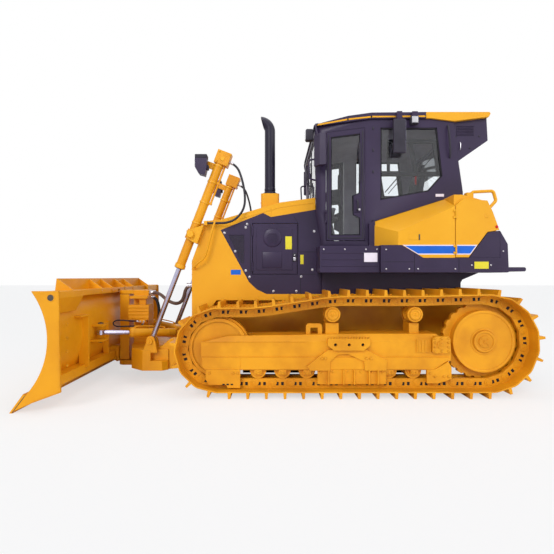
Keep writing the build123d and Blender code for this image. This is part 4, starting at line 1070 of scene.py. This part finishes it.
# %% Hood trim
HOOD_LINE = [(-1022, 2023), (-830, 2045), (-112, 2253), (324, 2312)]
bm = bmesh.new()
for (ax, az), (bx, bz) in zip(HOOD_LINE[1:], HOOD_LINE[2:]):
    strip(bm, (ax, az - 62), (bx, bz - 62), SIDE_FACE, 7, 3)
strip(bm, (-222, 2078), (-222, 2180), SIDE_FACE, 6, 2)
on_both_sides(bm)
add_piece(bm, "hood_folds", yellow, "machine")
bm = bmesh.new()
bar(
    bm,
    [
        (-905, -640, 2010),
        (-905, -700, 2010),
        (-925, -722, 1960),
        (-990, -730, 1700),
        (-1030, -722, 1560),
        (-1120, -712, 1500),
        (-1170, -690, 1440),
        (-1170, -640, 1440),
    ],
    13,
    smooth=True,
)
for x, z in ((-905, 2010), (-1170, 1440)):
    drum(bm, (x, -640, z), LEFT, 26, 8)
on_both_sides(bm)
add_piece(bm, "hose_guard_bars", yellow, "machine")
bm = bmesh.new()
for k in range(24):
    y = -402 + k * 35
    brick(bm, (-1202, -1197), (y - 4, y + 4), (866, 1494))
add_piece(bm, "grille_bars", trim, "machine")
bm = bmesh.new()
for k in range(5):
    for y in (-590, -470, 470, 590):
        z = 1230 + k * 66
        bolt(bm, (-1204, y, z), FRONT, 12, 10)
for y in (-350, 0, 350):
    for z in (1600, 1900):
        x = -1204 + (z - 1527) * 182 / 496
        bolt(bm, (x, y, z), (-0.939, 0, 0.344), 13, 10)
for x in (-700, -420, -140, 140):
    top = 2045 + (x + 830) * 208 / 718 if x < -112 else 2253 + (x + 112) * 59 / 436
    for y in (-560, 560):
        bolt(bm, (x, y, top), (-0.25, 0, 0.968), 11, 9)
add_piece(bm, "guard_bolts", yellow, "machine")
bm = bmesh.new()
drum(bm, (-239 - 112, -330, 2300), FRONT, 15, 9, sides=16)
add_piece(bm, "exhaust_cap", red, "machine")
print("front done")

# %% [markdown]
# ## Exhaust
# The exhaust is a plain steel tube whose top bends forwards and is cut by a steep plane, so rain
# stays out. Circles along the bend are bridged into a tube, one bisect makes the slanted mouth,
# and solidify gives the wall.

# %% Bent exhaust tube
STACK_X, STACK_Y, STACK_R = -239.0, -330.0, 68.0
ELBOW = (-365.0, 3238.0)
ELBOW_R = STACK_X - ELBOW[0]
bm = bmesh.new()
places = [(STACK_X, 2406, 0.0), (STACK_X, 3100, 0.0), (STACK_X, ELBOW[1], 0.0)]
for k in range(1, 10):
    turn = radians(10 * k)
    places.append((ELBOW[0] + ELBOW_R * cos(turn), ELBOW[1] + ELBOW_R * sin(turn), turn))
last = None
for x, z, turn in places:
    circle = bmesh.ops.create_circle(
        bm,
        segments=48,
        radius=STACK_R,
        matrix=Matrix.Translation((x, STACK_Y, z)) @ Matrix.Rotation(-turn, 4, "Y"),
    )["verts"]
    edges = list({e for v in circle for e in v.link_edges})
    if last:
        bmesh.ops.bridge_loops(bm, edges=last + edges)
        edges = [e for e in edges if e.is_valid]
    last = edges
bend = [v for v in bm.verts if v.co.z > ELBOW[1] - 1]
bend += [e for e in bm.edges if min(v.co.z for v in e.verts) > ELBOW[1] - 1]
bend += [f for f in bm.faces if min(v.co.z for v in f.verts) > ELBOW[1] - 1]
bmesh.ops.bisect_plane(
    bm,
    geom=bend,
    plane_co=(-311, STACK_Y, 3247),
    plane_no=(-0.969, 0, -0.247),
    clear_outer=True,
)
bmesh.ops.recalc_face_normals(bm, faces=bm.faces[:])
if max(bm.faces, key=lambda f: f.calc_center_median().x).normal.x < 0:
    bmesh.ops.reverse_faces(bm, faces=bm.faces[:])
bmesh.ops.solidify(bm, geom=bm.faces[:], thickness=8)
bmesh.ops.recalc_face_normals(bm, faces=bm.faces[:])
ring(bm, (STACK_X, STACK_Y, 2406), UP, 60, 92, 26, sides=48)
ring(bm, (STACK_X, STACK_Y, 2455), UP, 66, 72, 34, sides=48)
for k in range(4):
    drum(
        bm,
        (STACK_X + 80 * cos(radians(45 + 90 * k)), STACK_Y + 80 * sin(radians(45 + 90 * k)), 2431),
        UP,
        8,
        8,
        sides=6,
    )
stack = add_piece(bm, "exhaust_tube", stack_black, "machine")
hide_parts("exhaust_stack")
print("exhaust bent")

# %% [markdown]
# ## Side boxes: stripe, plates and lights
# A blue stripe with white edges runs along the yellow box and on over its door. It is a sticker, so
# thin plates with slanted ends are enough: a white one, and a slightly raised blue one on it. The
# part on the door rides on the door.

# %% Stripe and plates on the boxes
STRIPE_LOW, STRIPE_TOP, STRIPE_EDGE = 1582.0, 1692.0, 12.0


def box_edge(z):
    return 1258 + (1690 - z) * 241 / 144


def door_edge(z):
    return 2011 + (z - 1552) * 211 / 286


def box_stripe_white(bm):
    low, top = STRIPE_LOW, STRIPE_TOP
    slab(
        bm,
        [(box_edge(low) + 4, low), (1855, low), (1855, top), (box_edge(top) + 8, top)],
        BOX_FACE - 1.0,
        BOX_FACE,
    )


def box_stripe_blue(bm):
    low, top = STRIPE_LOW + STRIPE_EDGE, STRIPE_TOP - STRIPE_EDGE
    slab(
        bm,
        [(box_edge(low) + 20, low), (1855, low), (1855, top), (box_edge(top) + 20, top)],
        BOX_FACE - 1.8,
        BOX_FACE,
    )


def door_stripe_white(bm):
    low, top = STRIPE_LOW, STRIPE_TOP
    slab(
        bm,
        [(1867, low), (door_edge(low) - 4, low), (door_edge(top) - 4, top), (1867, top)],
        BOX_FACE - 1.0,
        BOX_FACE,
    )


def door_stripe_blue(bm):
    low, top = STRIPE_LOW + STRIPE_EDGE, STRIPE_TOP - STRIPE_EDGE
    slab(
        bm,
        [(1867, low), (door_edge(low) - 16, low), (door_edge(top) - 16, top), (1867, top)],
        BOX_FACE - 1.8,
        BOX_FACE,
    )


add_pair(box_stripe_white, "box_stripe_edge", label_white, "machine", "machine")
add_pair(box_stripe_blue, "box_stripe", label_blue, "machine", "machine")
add_pair(door_stripe_white, "door_stripe_edge", label_white, "left_box_door", "right_box_door")
add_pair(door_stripe_blue, "door_stripe", label_blue, "left_box_door", "right_box_door")
bm = bmesh.new()
label(bm, (1337, 1472), (1746, 1836), BOX_FACE)
on_both_sides(bm)
add_piece(bm, "box_plates", yellow, "machine")
bm = bmesh.new()
brick(bm, (1446, 1461), (BOX_FACE - 6, BOX_FACE), (1747, 1812), bevel=2)
on_both_sides(bm)
add_piece(bm, "box_catches", pin_steel_and_hole_shade, "machine")


def reflector(bm):
    drum(bm, (2326, BOX_FACE - 3, 1895), LEFT, 17, 7, top=14, sides=24)


def door_lock(bm):
    ring(bm, (2215, BOX_FACE, 2020), LEFT, 13, 24, 5)
    drum(bm, (2215, BOX_FACE, 2020), LEFT, 13, 3)


add_pair(reflector, "door_reflector", red, "left_box_door", "right_box_door")
add_pair(door_lock, "door_lock", yellow, "left_box_door", "right_box_door")
bm = bmesh.new()
bar(bm, [(1960, -1004, 2258), (1985, -1008, 2258), (1990, -1008, 2230), (2010, -1004, 2232)], 6)
on_both_sides(bm)
add_piece(bm, "box_hooks", zinc, "machine")
print("stripe", STRIPE_TOP - STRIPE_LOW, "mm high")

# %% Skirt seams, bolts and step handles
bm = bmesh.new()
for x in (1400, 1901):
    low, top = 1384, 1544 if x > 1499 else 1600
    strip(bm, (x, low), (x, top), BOX_FACE + 0.5, 5, 2)
strip(bm, (1030, 1500), (1395, 1500), BOX_FACE + 0.5, 4, 2)
on_both_sides(bm)
add_piece(bm, "skirt_seams", gasket_and_shade_black, "machine")
bm = bmesh.new()
for x, z in ((861, 1644), (986, 1644), (380, 1644), (620, 1644)):
    dome(bm, (x, STEP_FACE, z), LEFT, 10, 7)
for x, z in (
    (2046, 1462),
    (2262, 1462),
    (1080, 1640),
    (1080, 1420),
    (1340, 1420),
    (1440, 1420),
    (1860, 1420),
    (2400, 1620),
):
    dome(bm, (x, BOX_FACE, z), LEFT, 10, 7)
on_both_sides(bm)
add_piece(bm, "skirt_bolts", zinc, "machine")
bm = bmesh.new()
bar(bm, [(429, -720, 1650), (429, -782, 1650), (429, -784, 1560), (429, -782, 1478), (429, -720, 1478)], 11)
on_both_sides(bm)
add_piece(bm, "step_handles", label_white, "machine")
print("skirts done")

# %% [markdown]
# ## Cab
# The cab is welded from dark profiles, and its panes sit in rubber. A gasket of thin strips follows
# each window's outline. Round the cab go the small things that show against the pale background:
# mirrors, lamps, handles, wipers and hooks.

# %% Window gaskets
CAB_FACE = -780.0
DOOR_FACE = -790.0
WINDOW = [(1097, 3129), (1778, 3129), (1846, 2549), (1677, 2360), (1097, 2257)]
DOOR_PANE = [
    (500, 1830),
    (500, 3012),
    (850, 3056),
    (850, 2340),
    (770, 2300),
    (770, 2080),
    (850, 2040),
    (850, 1830),
]


def frame_strips(bm, outline, y, width, height, inset):
    middle = sum((Vector(p) for p in outline), Vector((0, 0))) / len(outline)
    moved = [Vector(p) + (middle - Vector(p)).normalized() * inset for p in outline]
    for a, b in zip(moved, moved[1:] + moved[:1]):
        strip(bm, a, b, y, width, height)
        drum(bm, (a.x, y, a.y), LEFT, width / 2, height, sides=16)


bm = bmesh.new()
frame_strips(bm, WINDOW, CAB_FACE + 12, 22, 8, 8)
on_both_sides(bm)
add_piece(bm, "window_gaskets", gasket_and_shade_black, "machine")


def door_gasket(bm):
    frame_strips(bm, DOOR_PANE, DOOR_FACE + 14, 18, 8, 6)


def door_trim(bm):
    for a, b in (((470, 1800), (470, 3040)), ((880, 1800), (880, 3090)), ((470, 1800), (880, 1800))):
        strip(bm, a, b, DOOR_FACE, 14, 5)
    bar(
        bm,
        [
            (812, DOOR_FACE - 10, 2130),
            (812, DOOR_FACE - 52, 2136),
            (812, DOOR_FACE - 56, 2190),
            (812, DOOR_FACE - 52, 2244),
            (812, DOOR_FACE - 10, 2250),
        ],
        10,
    )
    bar(
        bm,
        [
            (838, DOOR_FACE - 2, 2460),
            (838, DOOR_FACE - 42, 2470),
            (838, DOOR_FACE - 44, 2700),
            (838, DOOR_FACE - 42, 2930),
            (838, DOOR_FACE - 2, 2940),
        ],
        10,
    )


def door_lock_plate(bm):
    drum(bm, (838, DOOR_FACE - 12, 2140), LEFT, 13, 5)
    dome(bm, (838, DOOR_FACE - 16, 2140), LEFT, 8, 4)


add_pair(door_gasket, "cab_door_gasket", gasket_and_shade_black, "left_cab_door", "right_cab_door")
add_pair(door_trim, "cab_door_trim", trim, "left_cab_door", "right_cab_door")
add_pair(door_lock_plate, "cab_door_lock", zinc, "left_cab_door", "right_cab_door")
print("gaskets done")

# %% Roof stripe, lamps and mirrors
ROOF_FACE = -805.0
ROOF_LINE = [(322, 3152), (700, 3220), (983, 3251), (1636, 3257)]
bm = bmesh.new()
for a, b in zip(ROOF_LINE, ROOF_LINE[1:]):
    strip(bm, a, b, ROOF_FACE, 19, 2)
    drum(bm, (b[0], ROOF_FACE, b[1]), LEFT, 9.5, 2, sides=12)
on_both_sides(bm)
add_piece(bm, "roof_stripe", yellow, "machine")
bm = bmesh.new()
brick(bm, (1228, 1374), (-882, -833), (2797, 3203), bevel=12, segments=3)
brick(bm, (1436, 1529), (-877, -803), (3146, 3240), bevel=9, segments=3)
drum(bm, (1300, -842, 3246), UP, 16, 50)
for x, z in ((2014, 3027), (2299, 3031), (2182, 2890)):
    dome(bm, (x, -760, z), LEFT, 11, 7)
for z in (2600, 2860, 3120):
    brick(bm, (1000, 1018), (CAB_FACE - 6, CAB_FACE), (z - 18, z + 18), bevel=3)
bar(bm, [(1905, -790, 3150), (1905, -818, 3120), (1930, -818, 2800), (1930, -790, 2770)], 11)
bar(bm, [(320, 10, 2190), (306, -150, 2420), (300, -280, 2700)], 7)
brick(bm, (306, 318), (-292, -276), (2440, 2990), bevel=3)
brick(bm, (312, 350), (-14, 34), (2172, 2214), bevel=5)
on_both_sides(bm)
add_piece(bm, "cab_trim", trim, "machine")
bm = bmesh.new()
brick(bm, (1374, 1377), (-874, -841), (2812, 3188), bevel=1, segments=1)
turned_brick(bm, (378.6, -883.8, 2825), (0.69, 0.724, 0), (118, 340, 2), bevel=0.8)
on_both_sides(bm)
add_piece(bm, "mirror_faces", chrome, "machine")
bm = bmesh.new()
brick(bm, (1446, 1519), (-881, -876), (3156, 3230), bevel=2)
for y in (-560, -250):
    drum(bm, (2404, y, 3120), REAR, 44, 8, top=38)
on_both_sides(bm)
add_piece(bm, "roof_lamps", lens, "machine")
bm = bmesh.new()
for y in (-560, -250):
    ring(bm, (2398, y, 3120), REAR, 44, 54, 14)
on_both_sides(bm)
add_piece(bm, "roof_lamp_rims", trim, "machine")
bm = bmesh.new()
bar(
    bm,
    [(2064, -762, 2960), (2064, -776, 2950), (2064, -778, 2910), (2064, -776, 2872), (2064, -762, 2866)],
    5,
)
on_both_sides(bm)
add_piece(bm, "cab_hooks", zinc, "machine")
bm = bmesh.new()
brick(bm, (1662, 1710), (-700, -660), (3309, 3321), bevel=3)
add_piece(bm, "roof_tag", red, "machine")
bm = bmesh.new()
label(bm, (1762, 1862), (2297, 2330), CAB_FACE)
on_both_sides(bm)
add_piece(bm, "cab_labels", label_white, "machine")
print("cab outside done")

# %% [markdown]
# ## Seat and controls
# The seat is foam under cloth. A foam cushion has full, crowned faces, and its sides pull in
# between the corners. A subdivided block is pushed into that form by a short formula, which is
# quicker than a cloth simulation and looks the same through the cab's glass.

# %% Seat cushions
def cushion(bm, at, half, lean=0.0, edge_thin=0.42, pull=0.05):
    made = bmesh.ops.create_cube(bm, size=2.0)["verts"]
    edges = list({e for v in made for e in v.link_edges})
    bmesh.ops.subdivide_edges(bm, edges=edges, cuts=11, use_grid_fill=True)
    made = bm.verts[:]
    for v in made:
        u, w, t = v.co
        side_u, side_w = u * (1 - pull * (1 - w * w) * u * u), w * (1 - pull * (1 - u * u) * w * w)
        round_u = 1 - 0.06 * w**8
        round_w = 1 - 0.06 * u**8
        thick = 1 - edge_thin * max(u**6, w**6) - 0.25 * (u * u + w * w) / 2
        v.co = (side_u * round_u * half[0], side_w * round_w * half[1], t * thick * half[2])
    turn = Matrix.Translation(Vector(at)) @ Matrix.Rotation(lean, 4, "Y")
    bmesh.ops.transform(bm, matrix=turn, verts=made)
    return made


def soft_piece(name, at, half, lean=0.0, **shape):
    bm = bmesh.new()
    cushion(bm, at, half, lean, **shape)
    bmesh.ops.recalc_face_normals(bm, faces=bm.faces[:])
    piece = add_piece(bm, name, seat_cloth, "machine")
    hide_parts("seat")
    return piece


BACK_LEAN = radians(79)
soft_piece("seat_cushion", (1470, 0, 2072), (246, 266, 60))
soft_piece("seat_back", (1765, 0, 2440), (318, 232, 62), lean=-BACK_LEAN)
soft_piece("head_rest", (1826, 0, 2800), (62, 150, 46), lean=-BACK_LEAN)
for word, side in (("left", -1), ("right", 1)):
    soft_piece("arm_pad_" + word, (1410, side * 310, 2306), (228, 34, 32), edge_thin=0.2)
bm = bmesh.new()
brick(bm, (1250, 1750), (-245, 245), (1768, 1810), bevel=8)
for k in range(5):
    inset = 14 if k % 2 else 0
    brick(
        bm,
        (1290 + inset, 1700 - inset),
        (-205 + inset, 205 - inset),
        (1812 + k * 30, 1838 + k * 30),
        bevel=9,
    )
brick(bm, (1262, 1738), (-236, 236), (1964, 2008), bevel=10)
for y in (-310, 310):
    brick(bm, (1515, 1585), (y - 24, y + 24), (1768, 2270), bevel=10)
brick(bm, (1800, 1826), (-205, 205), (2090, 2760), bevel=10)
base = add_piece(bm, "seat_base", plastic, "machine")
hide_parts("seat")

# %% Controls
bm = bmesh.new()
for y in (-310, 310):
    bar(bm, [(1190, y, 2342), (1180, y, 2400), (1172, y, 2450)], 12)
    dome(bm, (1170, y, 2474), (-0.1, 0, 1), 24, 44)
bar(bm, [(600, 150, 2080), (640, 150, 2240), (690, 150, 2300)], 12)
for y in (-150, 150):
    brick(bm, (760, 900), (y - 60, y + 60), (1790, 1812), bevel=6)
add_piece(bm, "controls", trim, "machine")
bm = bmesh.new()
brick(bm, (1690, 1712), (-262, -246), (2560, 2690), bevel=3)
add_piece(bm, "belt_tag", red, "machine")
print("seat and controls done")

# %% [markdown]
# ## Cab shell, lining and sliding panes
# The real cab has a light lining inside and dark paint outside. A copy of the solid shell gets both:
# its faces towards the inside take the lining's finish. In the solid, the frame of the sliding
# panes came out as a full plate, so the copy leaves that plate out, and slim bars are set in its
# place, with the pane's outline as the real cab has it.

# %% Cab shell with a lining
lining = paint("cab_lining", (0.33, 0.30, 0.37), (0.26, 0.235, 0.30), 0.6, tone_scale=5.0, edge=0.0)
PLATE_IN, PLATE_OUT = 0.745, 0.757
INNER_WALL = 0.737
bm = bmesh.new()
bm.from_mesh(frame["nodes"]["cab_shell"].data)
bmesh.ops.remove_doubles(bm, verts=bm.verts[:], dist=1e-5)
plates = [f for f in bm.faces if all(PLATE_IN < abs(v.co.y) < PLATE_OUT for v in f.verts)]
bmesh.ops.delete(bm, geom=plates, context="FACES")
open_edges = [e for e in bm.edges if e.is_boundary]
if open_edges:
    bmesh.ops.holes_fill(bm, edges=open_edges, sides=0)
for f in bm.faces:
    middle = f.calc_center_median()
    inside = 0.34 < middle.x < 2.045 and 1.755 < middle.z < 3.19 and abs(middle.y) < INNER_WALL
    towards = Vector((middle.x - 1.2, middle.y, middle.z - 2.5)).dot(f.normal) < 0
    f.material_index = 1 if inside and towards else 0
bmesh.ops.scale(bm, vec=(1 / MM, 1 / MM, 1 / MM), verts=bm.verts[:])
shell = add_piece(bm, "cab_shell_painted", dark, "machine")
shell.data.materials.append(lining)
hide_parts("cab_shell")
print("plates left out", len(plates), "faces; open edges closed", len(open_edges))

# %% Roof with its front edge set back
ROOF_FRONT = 0.292
bm = bmesh.new()
bm.from_mesh(frame["nodes"]["cab_roof"].data)
bmesh.ops.remove_doubles(bm, verts=bm.verts[:], dist=1e-5)
cut = bmesh.ops.bisect_plane(
    bm,
    geom=bm.verts[:] + bm.edges[:] + bm.faces[:],
    plane_co=(ROOF_FRONT, 0, 0),
    plane_no=(-1, 0, 0),
    clear_outer=True,
)["geom_cut"]
bmesh.ops.holes_fill(bm, edges=[g for g in cut if isinstance(g, bmesh.types.BMEdge)], sides=0)
bmesh.ops.recalc_face_normals(bm, faces=bm.faces[:])
bmesh.ops.scale(bm, vec=(1 / MM, 1 / MM, 1 / MM), verts=bm.verts[:])
roof = add_piece(bm, "cab_roof_painted", dark, "machine")
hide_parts("cab_roof")
bm = bmesh.new()
brick(bm, (196, 286), (-800, -706), (2972, 3112), bevel=16, segments=3)
bar(bm, [(270, -752, 3090), (320, -752, 3120), (360, -752, 3140)], 14)
add_piece(bm, "front_lamp_case", trim, "machine")
bm = bmesh.new()
brick(bm, (191, 197), (-790, -716), (2990, 3094), bevel=2)
add_piece(bm, "front_lamp_lens", lens, "machine")

# %% Sliding pane frames
PANE_BARS = [
    [(1099, 2548), (1841, 2548), (1838, 2603), (1099, 2603)],
    [(1182, 2603), (1218, 2603), (1218, 2950), (1182, 2950)],
    [(1182, 2950), (1795, 2950), (1788, 2994), (1182, 2994)],
    [(1776, 2603), (1838, 2603), (1797, 2950), (1735, 2950)],
    [(1500, 2603), (1552, 2603), (1494, 2950), (1442, 2950)],
]
bm = bmesh.new()
for outline in PANE_BARS:
    slab(bm, outline, -758, -742)
on_both_sides(bm)
add_piece(bm, "sliding_pane_frames", gasket_and_shade_black, "machine")
bm = bmesh.new()
bar(bm, [(1560, -735, 2660), (1790, -735, 2930)], 8, smooth=False)
bar(bm, [(1610, -735, 2640), (1800, -735, 2860)], 6, smooth=False)
on_both_sides(bm)
add_piece(bm, "pane_rods", trim, "machine")

# %% Slim console and its screen
bm = bmesh.new()
slab(bm, [(478, 1767), (600, 1767), (612, 1900), (575, 2060), (478, 2075)], -330, 330)
slab(bm, [(560, 2050), (600, 2050), (640, 2250), (600, 2260)], -215, -150)
brick(bm, (478, 640), (-380, 380), (2070, 2110), bevel=12)
console = add_piece(bm, "slim_console", plastic, "machine")
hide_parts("console")
bm = bmesh.new()
screen = brick(bm, (-85, 85), (-105, 105), (-88, 88), bevel=14, segments=3)
bmesh.ops.transform(
    bm,
    matrix=Matrix.Translation((608, -180, 2400)) @ Matrix.Rotation(radians(-6), 4, "Y"),
    verts=screen,
)
brick(bm, (720, 1160), (-560, -420), (1767, 1800), bevel=10)
add_piece(bm, "screen_case", trim, "machine")
print("console slimmed")

# %% [markdown]
# ## Dark corner panel
# Behind the service door, the dark skirt climbs in a slope up to the box's rear corner. One slab
# with that outline stands in front of the yellow tank.

# %% Corner panel and pillar foot
bm = bmesh.new()
slab(bm, [(2020, 1547), (2366, 1547), (2366, 1846), (2356, 1853), (2229, 1831)], -1098, -1066)
on_both_sides(bm)
add_piece(bm, "corner_panels", dark, "machine")
bm = bmesh.new()
slab(bm, [(946, 1691), (1014, 1691), (1016, 2000), (1000, 1998), (946, 1966)], -846, -781)
slab(bm, [(1016, 1996), (1860, 2262), (1860, 2282), (1000, 2012)], -800, -781)
on_both_sides(bm)
add_piece(bm, "pillar_feet", dark, "machine")

# %% [markdown]
# ## Blade
# Bolts hold the cutting edge, a round hole goes through each end plate, and heavy weld beads join
# the ribs. The hub that carries the blade sits low behind it. In the photograph it stands clear of
# the lower wedge, so its rings are set in front of the solid hub.

# %% Blade edge, end plates and hub
END_FACE = -1740.0


def edge_bolts(bm):
    a, b = Vector((-2736, 0)), Vector((-2609, 172))
    along = (b - a).normalized()
    out = Vector((-along.y, 0, along.x))
    for k in range(17):
        y = -1640 + k * 205
        at = a + along * 128
        bolt(bm, (at.x + out.x * 24, y, at.y + out.z * 24), out, 15, 10)


bm = bmesh.new()
edge_bolts(bm)
add_piece(bm, "edge_bolts", zinc, "blade_body")
# The hole in each end plate is a thin dark disc: painted shade in the hole. The strip beside it is the dark
# seam between the cutting edge and the blade.
bm = bmesh.new()
drum(bm, (-2362, END_FACE + 0.4, 1126), LEFT, 31, 1, sides=32)
strip(bm, (-2613, 170), (-2738, 4), END_FACE + 0.5, 6, 2)
on_both_sides(bm)
add_piece(bm, "end_plate_hole_shade_and_seams", pin_steel_and_hole_shade, "blade_body")
bm = bmesh.new()
ring(bm, (-2362, END_FACE, 1126), LEFT, 31, 40, 2.5)
for (ax, az), (bx, bz) in (((-2285, 1180), (-2272, 215)), ((-2540, 112), (-2280, 210))):
    strip(bm, (ax, az), (bx, bz), END_FACE, 9, 4)
for y in (-1029, -1001):
    for z in (420, 560, 700, 840):
        bolt(bm, (-2310, (y - 1001) / 2 - 514, z), REAR, 10, 8)
for y in (-584, -242, 0, 227, 569):
    bolt(bm, (-2350, y, 1152), REAR, 12, 10)
on_both_sides(bm)
add_piece(bm, "blade_welds", blade_yellow, "blade_body")
bm = bmesh.new()
ring(bm, (-2340, 0, 276), REAR, 66, 112, 26, sides=48)
ring(bm, (-2366, 0, 276), REAR, 104, 118, 12, sides=48)
for k in range(8):
    turn = radians(22.5 + 45 * k)
    bolt(bm, (-2314, 90 * cos(turn), 276 + 90 * sin(turn)), REAR, 9, 8, washer=False)
add_piece(bm, "blade_hub_rings", blade_yellow, "blade_body")
print("blade dressed")

# %% Clevis pins, glands and pipes of the angle cylinders
bm = bmesh.new()
for way, cap_z, nut_z in ((-1, 549, 537), (1, 761, 773)):
    drum(bm, (-2300, -720, cap_z), UP * way, 34, 12, top=31, sides=28)
    drum(bm, (-2300, -720, nut_z), UP * way, 12, 6, sides=6)
on_both_sides(bm)
add_piece(bm, "angle_pins", pin_steel_and_hole_shade, "blade_body")
ANGLE_FROM = Vector((-1470.0, -150.0, 575.0))
ANGLE_TO = Vector((-2300.0, -720.0, 655.0))
ANGLE_AXIS = (ANGLE_TO - ANGLE_FROM).normalized()


def angle_glands(bm):
    ring(bm, ANGLE_FROM + ANGLE_AXIS * 618, ANGLE_AXIS, 56, 64, 44)
    ring(bm, ANGLE_FROM + ANGLE_AXIS * 150, ANGLE_AXIS, 56, 61, 14)
    ring(bm, ANGLE_FROM + ANGLE_AXIS * 664, ANGLE_AXIS, 29, 50, 10)
    for t in (210, 600):
        drum(bm, ANGLE_FROM + ANGLE_AXIS * t + Vector((0, 0, 52)), UP, 15, 22, sides=16)


def angle_pipes(bm):
    rise = Vector((0, 0, 74))
    bar(
        bm,
        [
            ANGLE_FROM + ANGLE_AXIS * 600 + rise,
            ANGLE_FROM + ANGLE_AXIS * 560 + rise * 1.12,
            ANGLE_FROM + ANGLE_AXIS * 250 + rise * 1.12,
            ANGLE_FROM + ANGLE_AXIS * 210 + rise,
        ],
        8,
    )


add_pair(
    angle_glands,
    "angle_glands",
    blade_yellow,
    "left_angle_barrel",
    "right_angle_barrel",
)
add_pair(angle_pipes, "angle_pipes", blade_yellow, "left_angle_barrel", "right_angle_barrel")

# %% [markdown]
# ## Lift cylinders
# Each lift cylinder hangs in a forked bracket. Bands round its barrel hold a steel pipe, the head
# carries bolts, and a pin with a round cap goes through the trunnion. The work lamp at the head
# has its lens low in the housing, under a dark rim.

# %% Lift cylinder bands, caps and lamp faces
def on_lift(t, side=0.0):
    return TRUNNION + LEAN * t + ASIDE * side


def lift_bands(bm):
    for t in (150, 420, 690, 905):
        ring(bm, on_lift(t), LEAN, 56, 62, 20)
    ring(bm, on_lift(-436), LEAN, 55, 66, 46)
    drum(bm, on_lift(0) + LEFT * 118, LEFT, 44, 12, top=40)
    for side in (-50, 90):
        for t in (962, 1084):
            bolt(bm, on_lift(t, side + 14) + LEFT * 62, LEFT, 9, 8)
    drum(bm, on_lift(1010, 22) + LEFT * 62, LEFT, 30, 7, top=27)


def lift_wiper(bm):
    ring(bm, on_lift(-446), LEAN, 33, 50, 10)


def lamp_face(bm):
    turned_brick(bm, (-1149, -683, 2735), FRONT, (96, 116, 5), bevel=2)


def lamp_rim(bm):
    brick(bm, (-1150, -1002), (-742, -624), (2776, 2826), bevel=9, segments=2)
    brick(bm, (-1008, -985), (-706, -660), (2640, 2700), bevel=5)


add_pair(lift_bands, "lift_bands", yellow, "left_hoist_barrel", "right_hoist_barrel")
add_pair(lift_wiper, "lift_wiper", gasket_and_shade_black, "left_hoist_barrel", "right_hoist_barrel")
add_pair(lamp_face, "work_lamp_lens", lens, "left_hoist_barrel", "right_hoist_barrel")
add_pair(lamp_rim, "work_lamp_rim", trim, "left_hoist_barrel", "right_hoist_barrel")


def lift_pin_caps(bm):
    drum(bm, (-1710, -705, 539), LEFT, 40, 9, top=36)
    drum(bm, (-1710, -714, 539), LEFT, 12, 6, sides=6)


add_pair(lift_pin_caps, "lift_pin_caps", blade_yellow, "push_frame_body", "push_frame_body")
print("cylinders dressed")

# %% Hose loop and its manifold under the guard box
LOOP_Y = -296.0
LOOP_TOP, LOOP_LOW = 744.0, 690.0
bm = bmesh.new()
brick(bm, (-1966, -1880), (-318, -250), (726, 764.5), bevel=4)
add_piece(bm, "loop_manifold", blade_yellow, "push_frame_body")
bm = bmesh.new()
drum(bm, (-1966, LOOP_Y, LOOP_TOP), FRONT, 15, 12, sides=6)
drum(bm, (-1978, LOOP_Y, LOOP_TOP), FRONT, 12, 22, sides=20)
drum(bm, (-1920, LOOP_Y, 726), -UP, 15, 10, sides=6)
drum(bm, (-1920, LOOP_Y, 716), -UP, 12, 12, sides=20)
for x in (-1945, -1900):
    drum(bm, (x, -318, 744), LEFT, 12, 8, sides=20)
add_piece(bm, "loop_fittings", zinc, "push_frame_body")
LOOP_ROUTE = [
    (-1966, LOOP_Y, LOOP_TOP),
    (-2060, LOOP_Y, LOOP_TOP),
    (-2170, LOOP_Y - 6, LOOP_TOP + 14),
    (-2275, LOOP_Y - 8, LOOP_TOP + 16),
    (-2320, LOOP_Y - 8, (LOOP_TOP + LOOP_LOW) / 2),
    (-2275, LOOP_Y - 8, LOOP_LOW - 16),
    (-2170, LOOP_Y - 6, LOOP_LOW - 14),
    (-2060, LOOP_Y, LOOP_LOW - 10),
    (-1960, LOOP_Y, LOOP_LOW - 14),
    (-1920, LOOP_Y, LOOP_LOW - 4),
    (-1920, LOOP_Y, 737),
]
piece, route, length = hose("loop_hose", LOOP_ROUTE, 9.0, rubber, None)
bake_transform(piece)
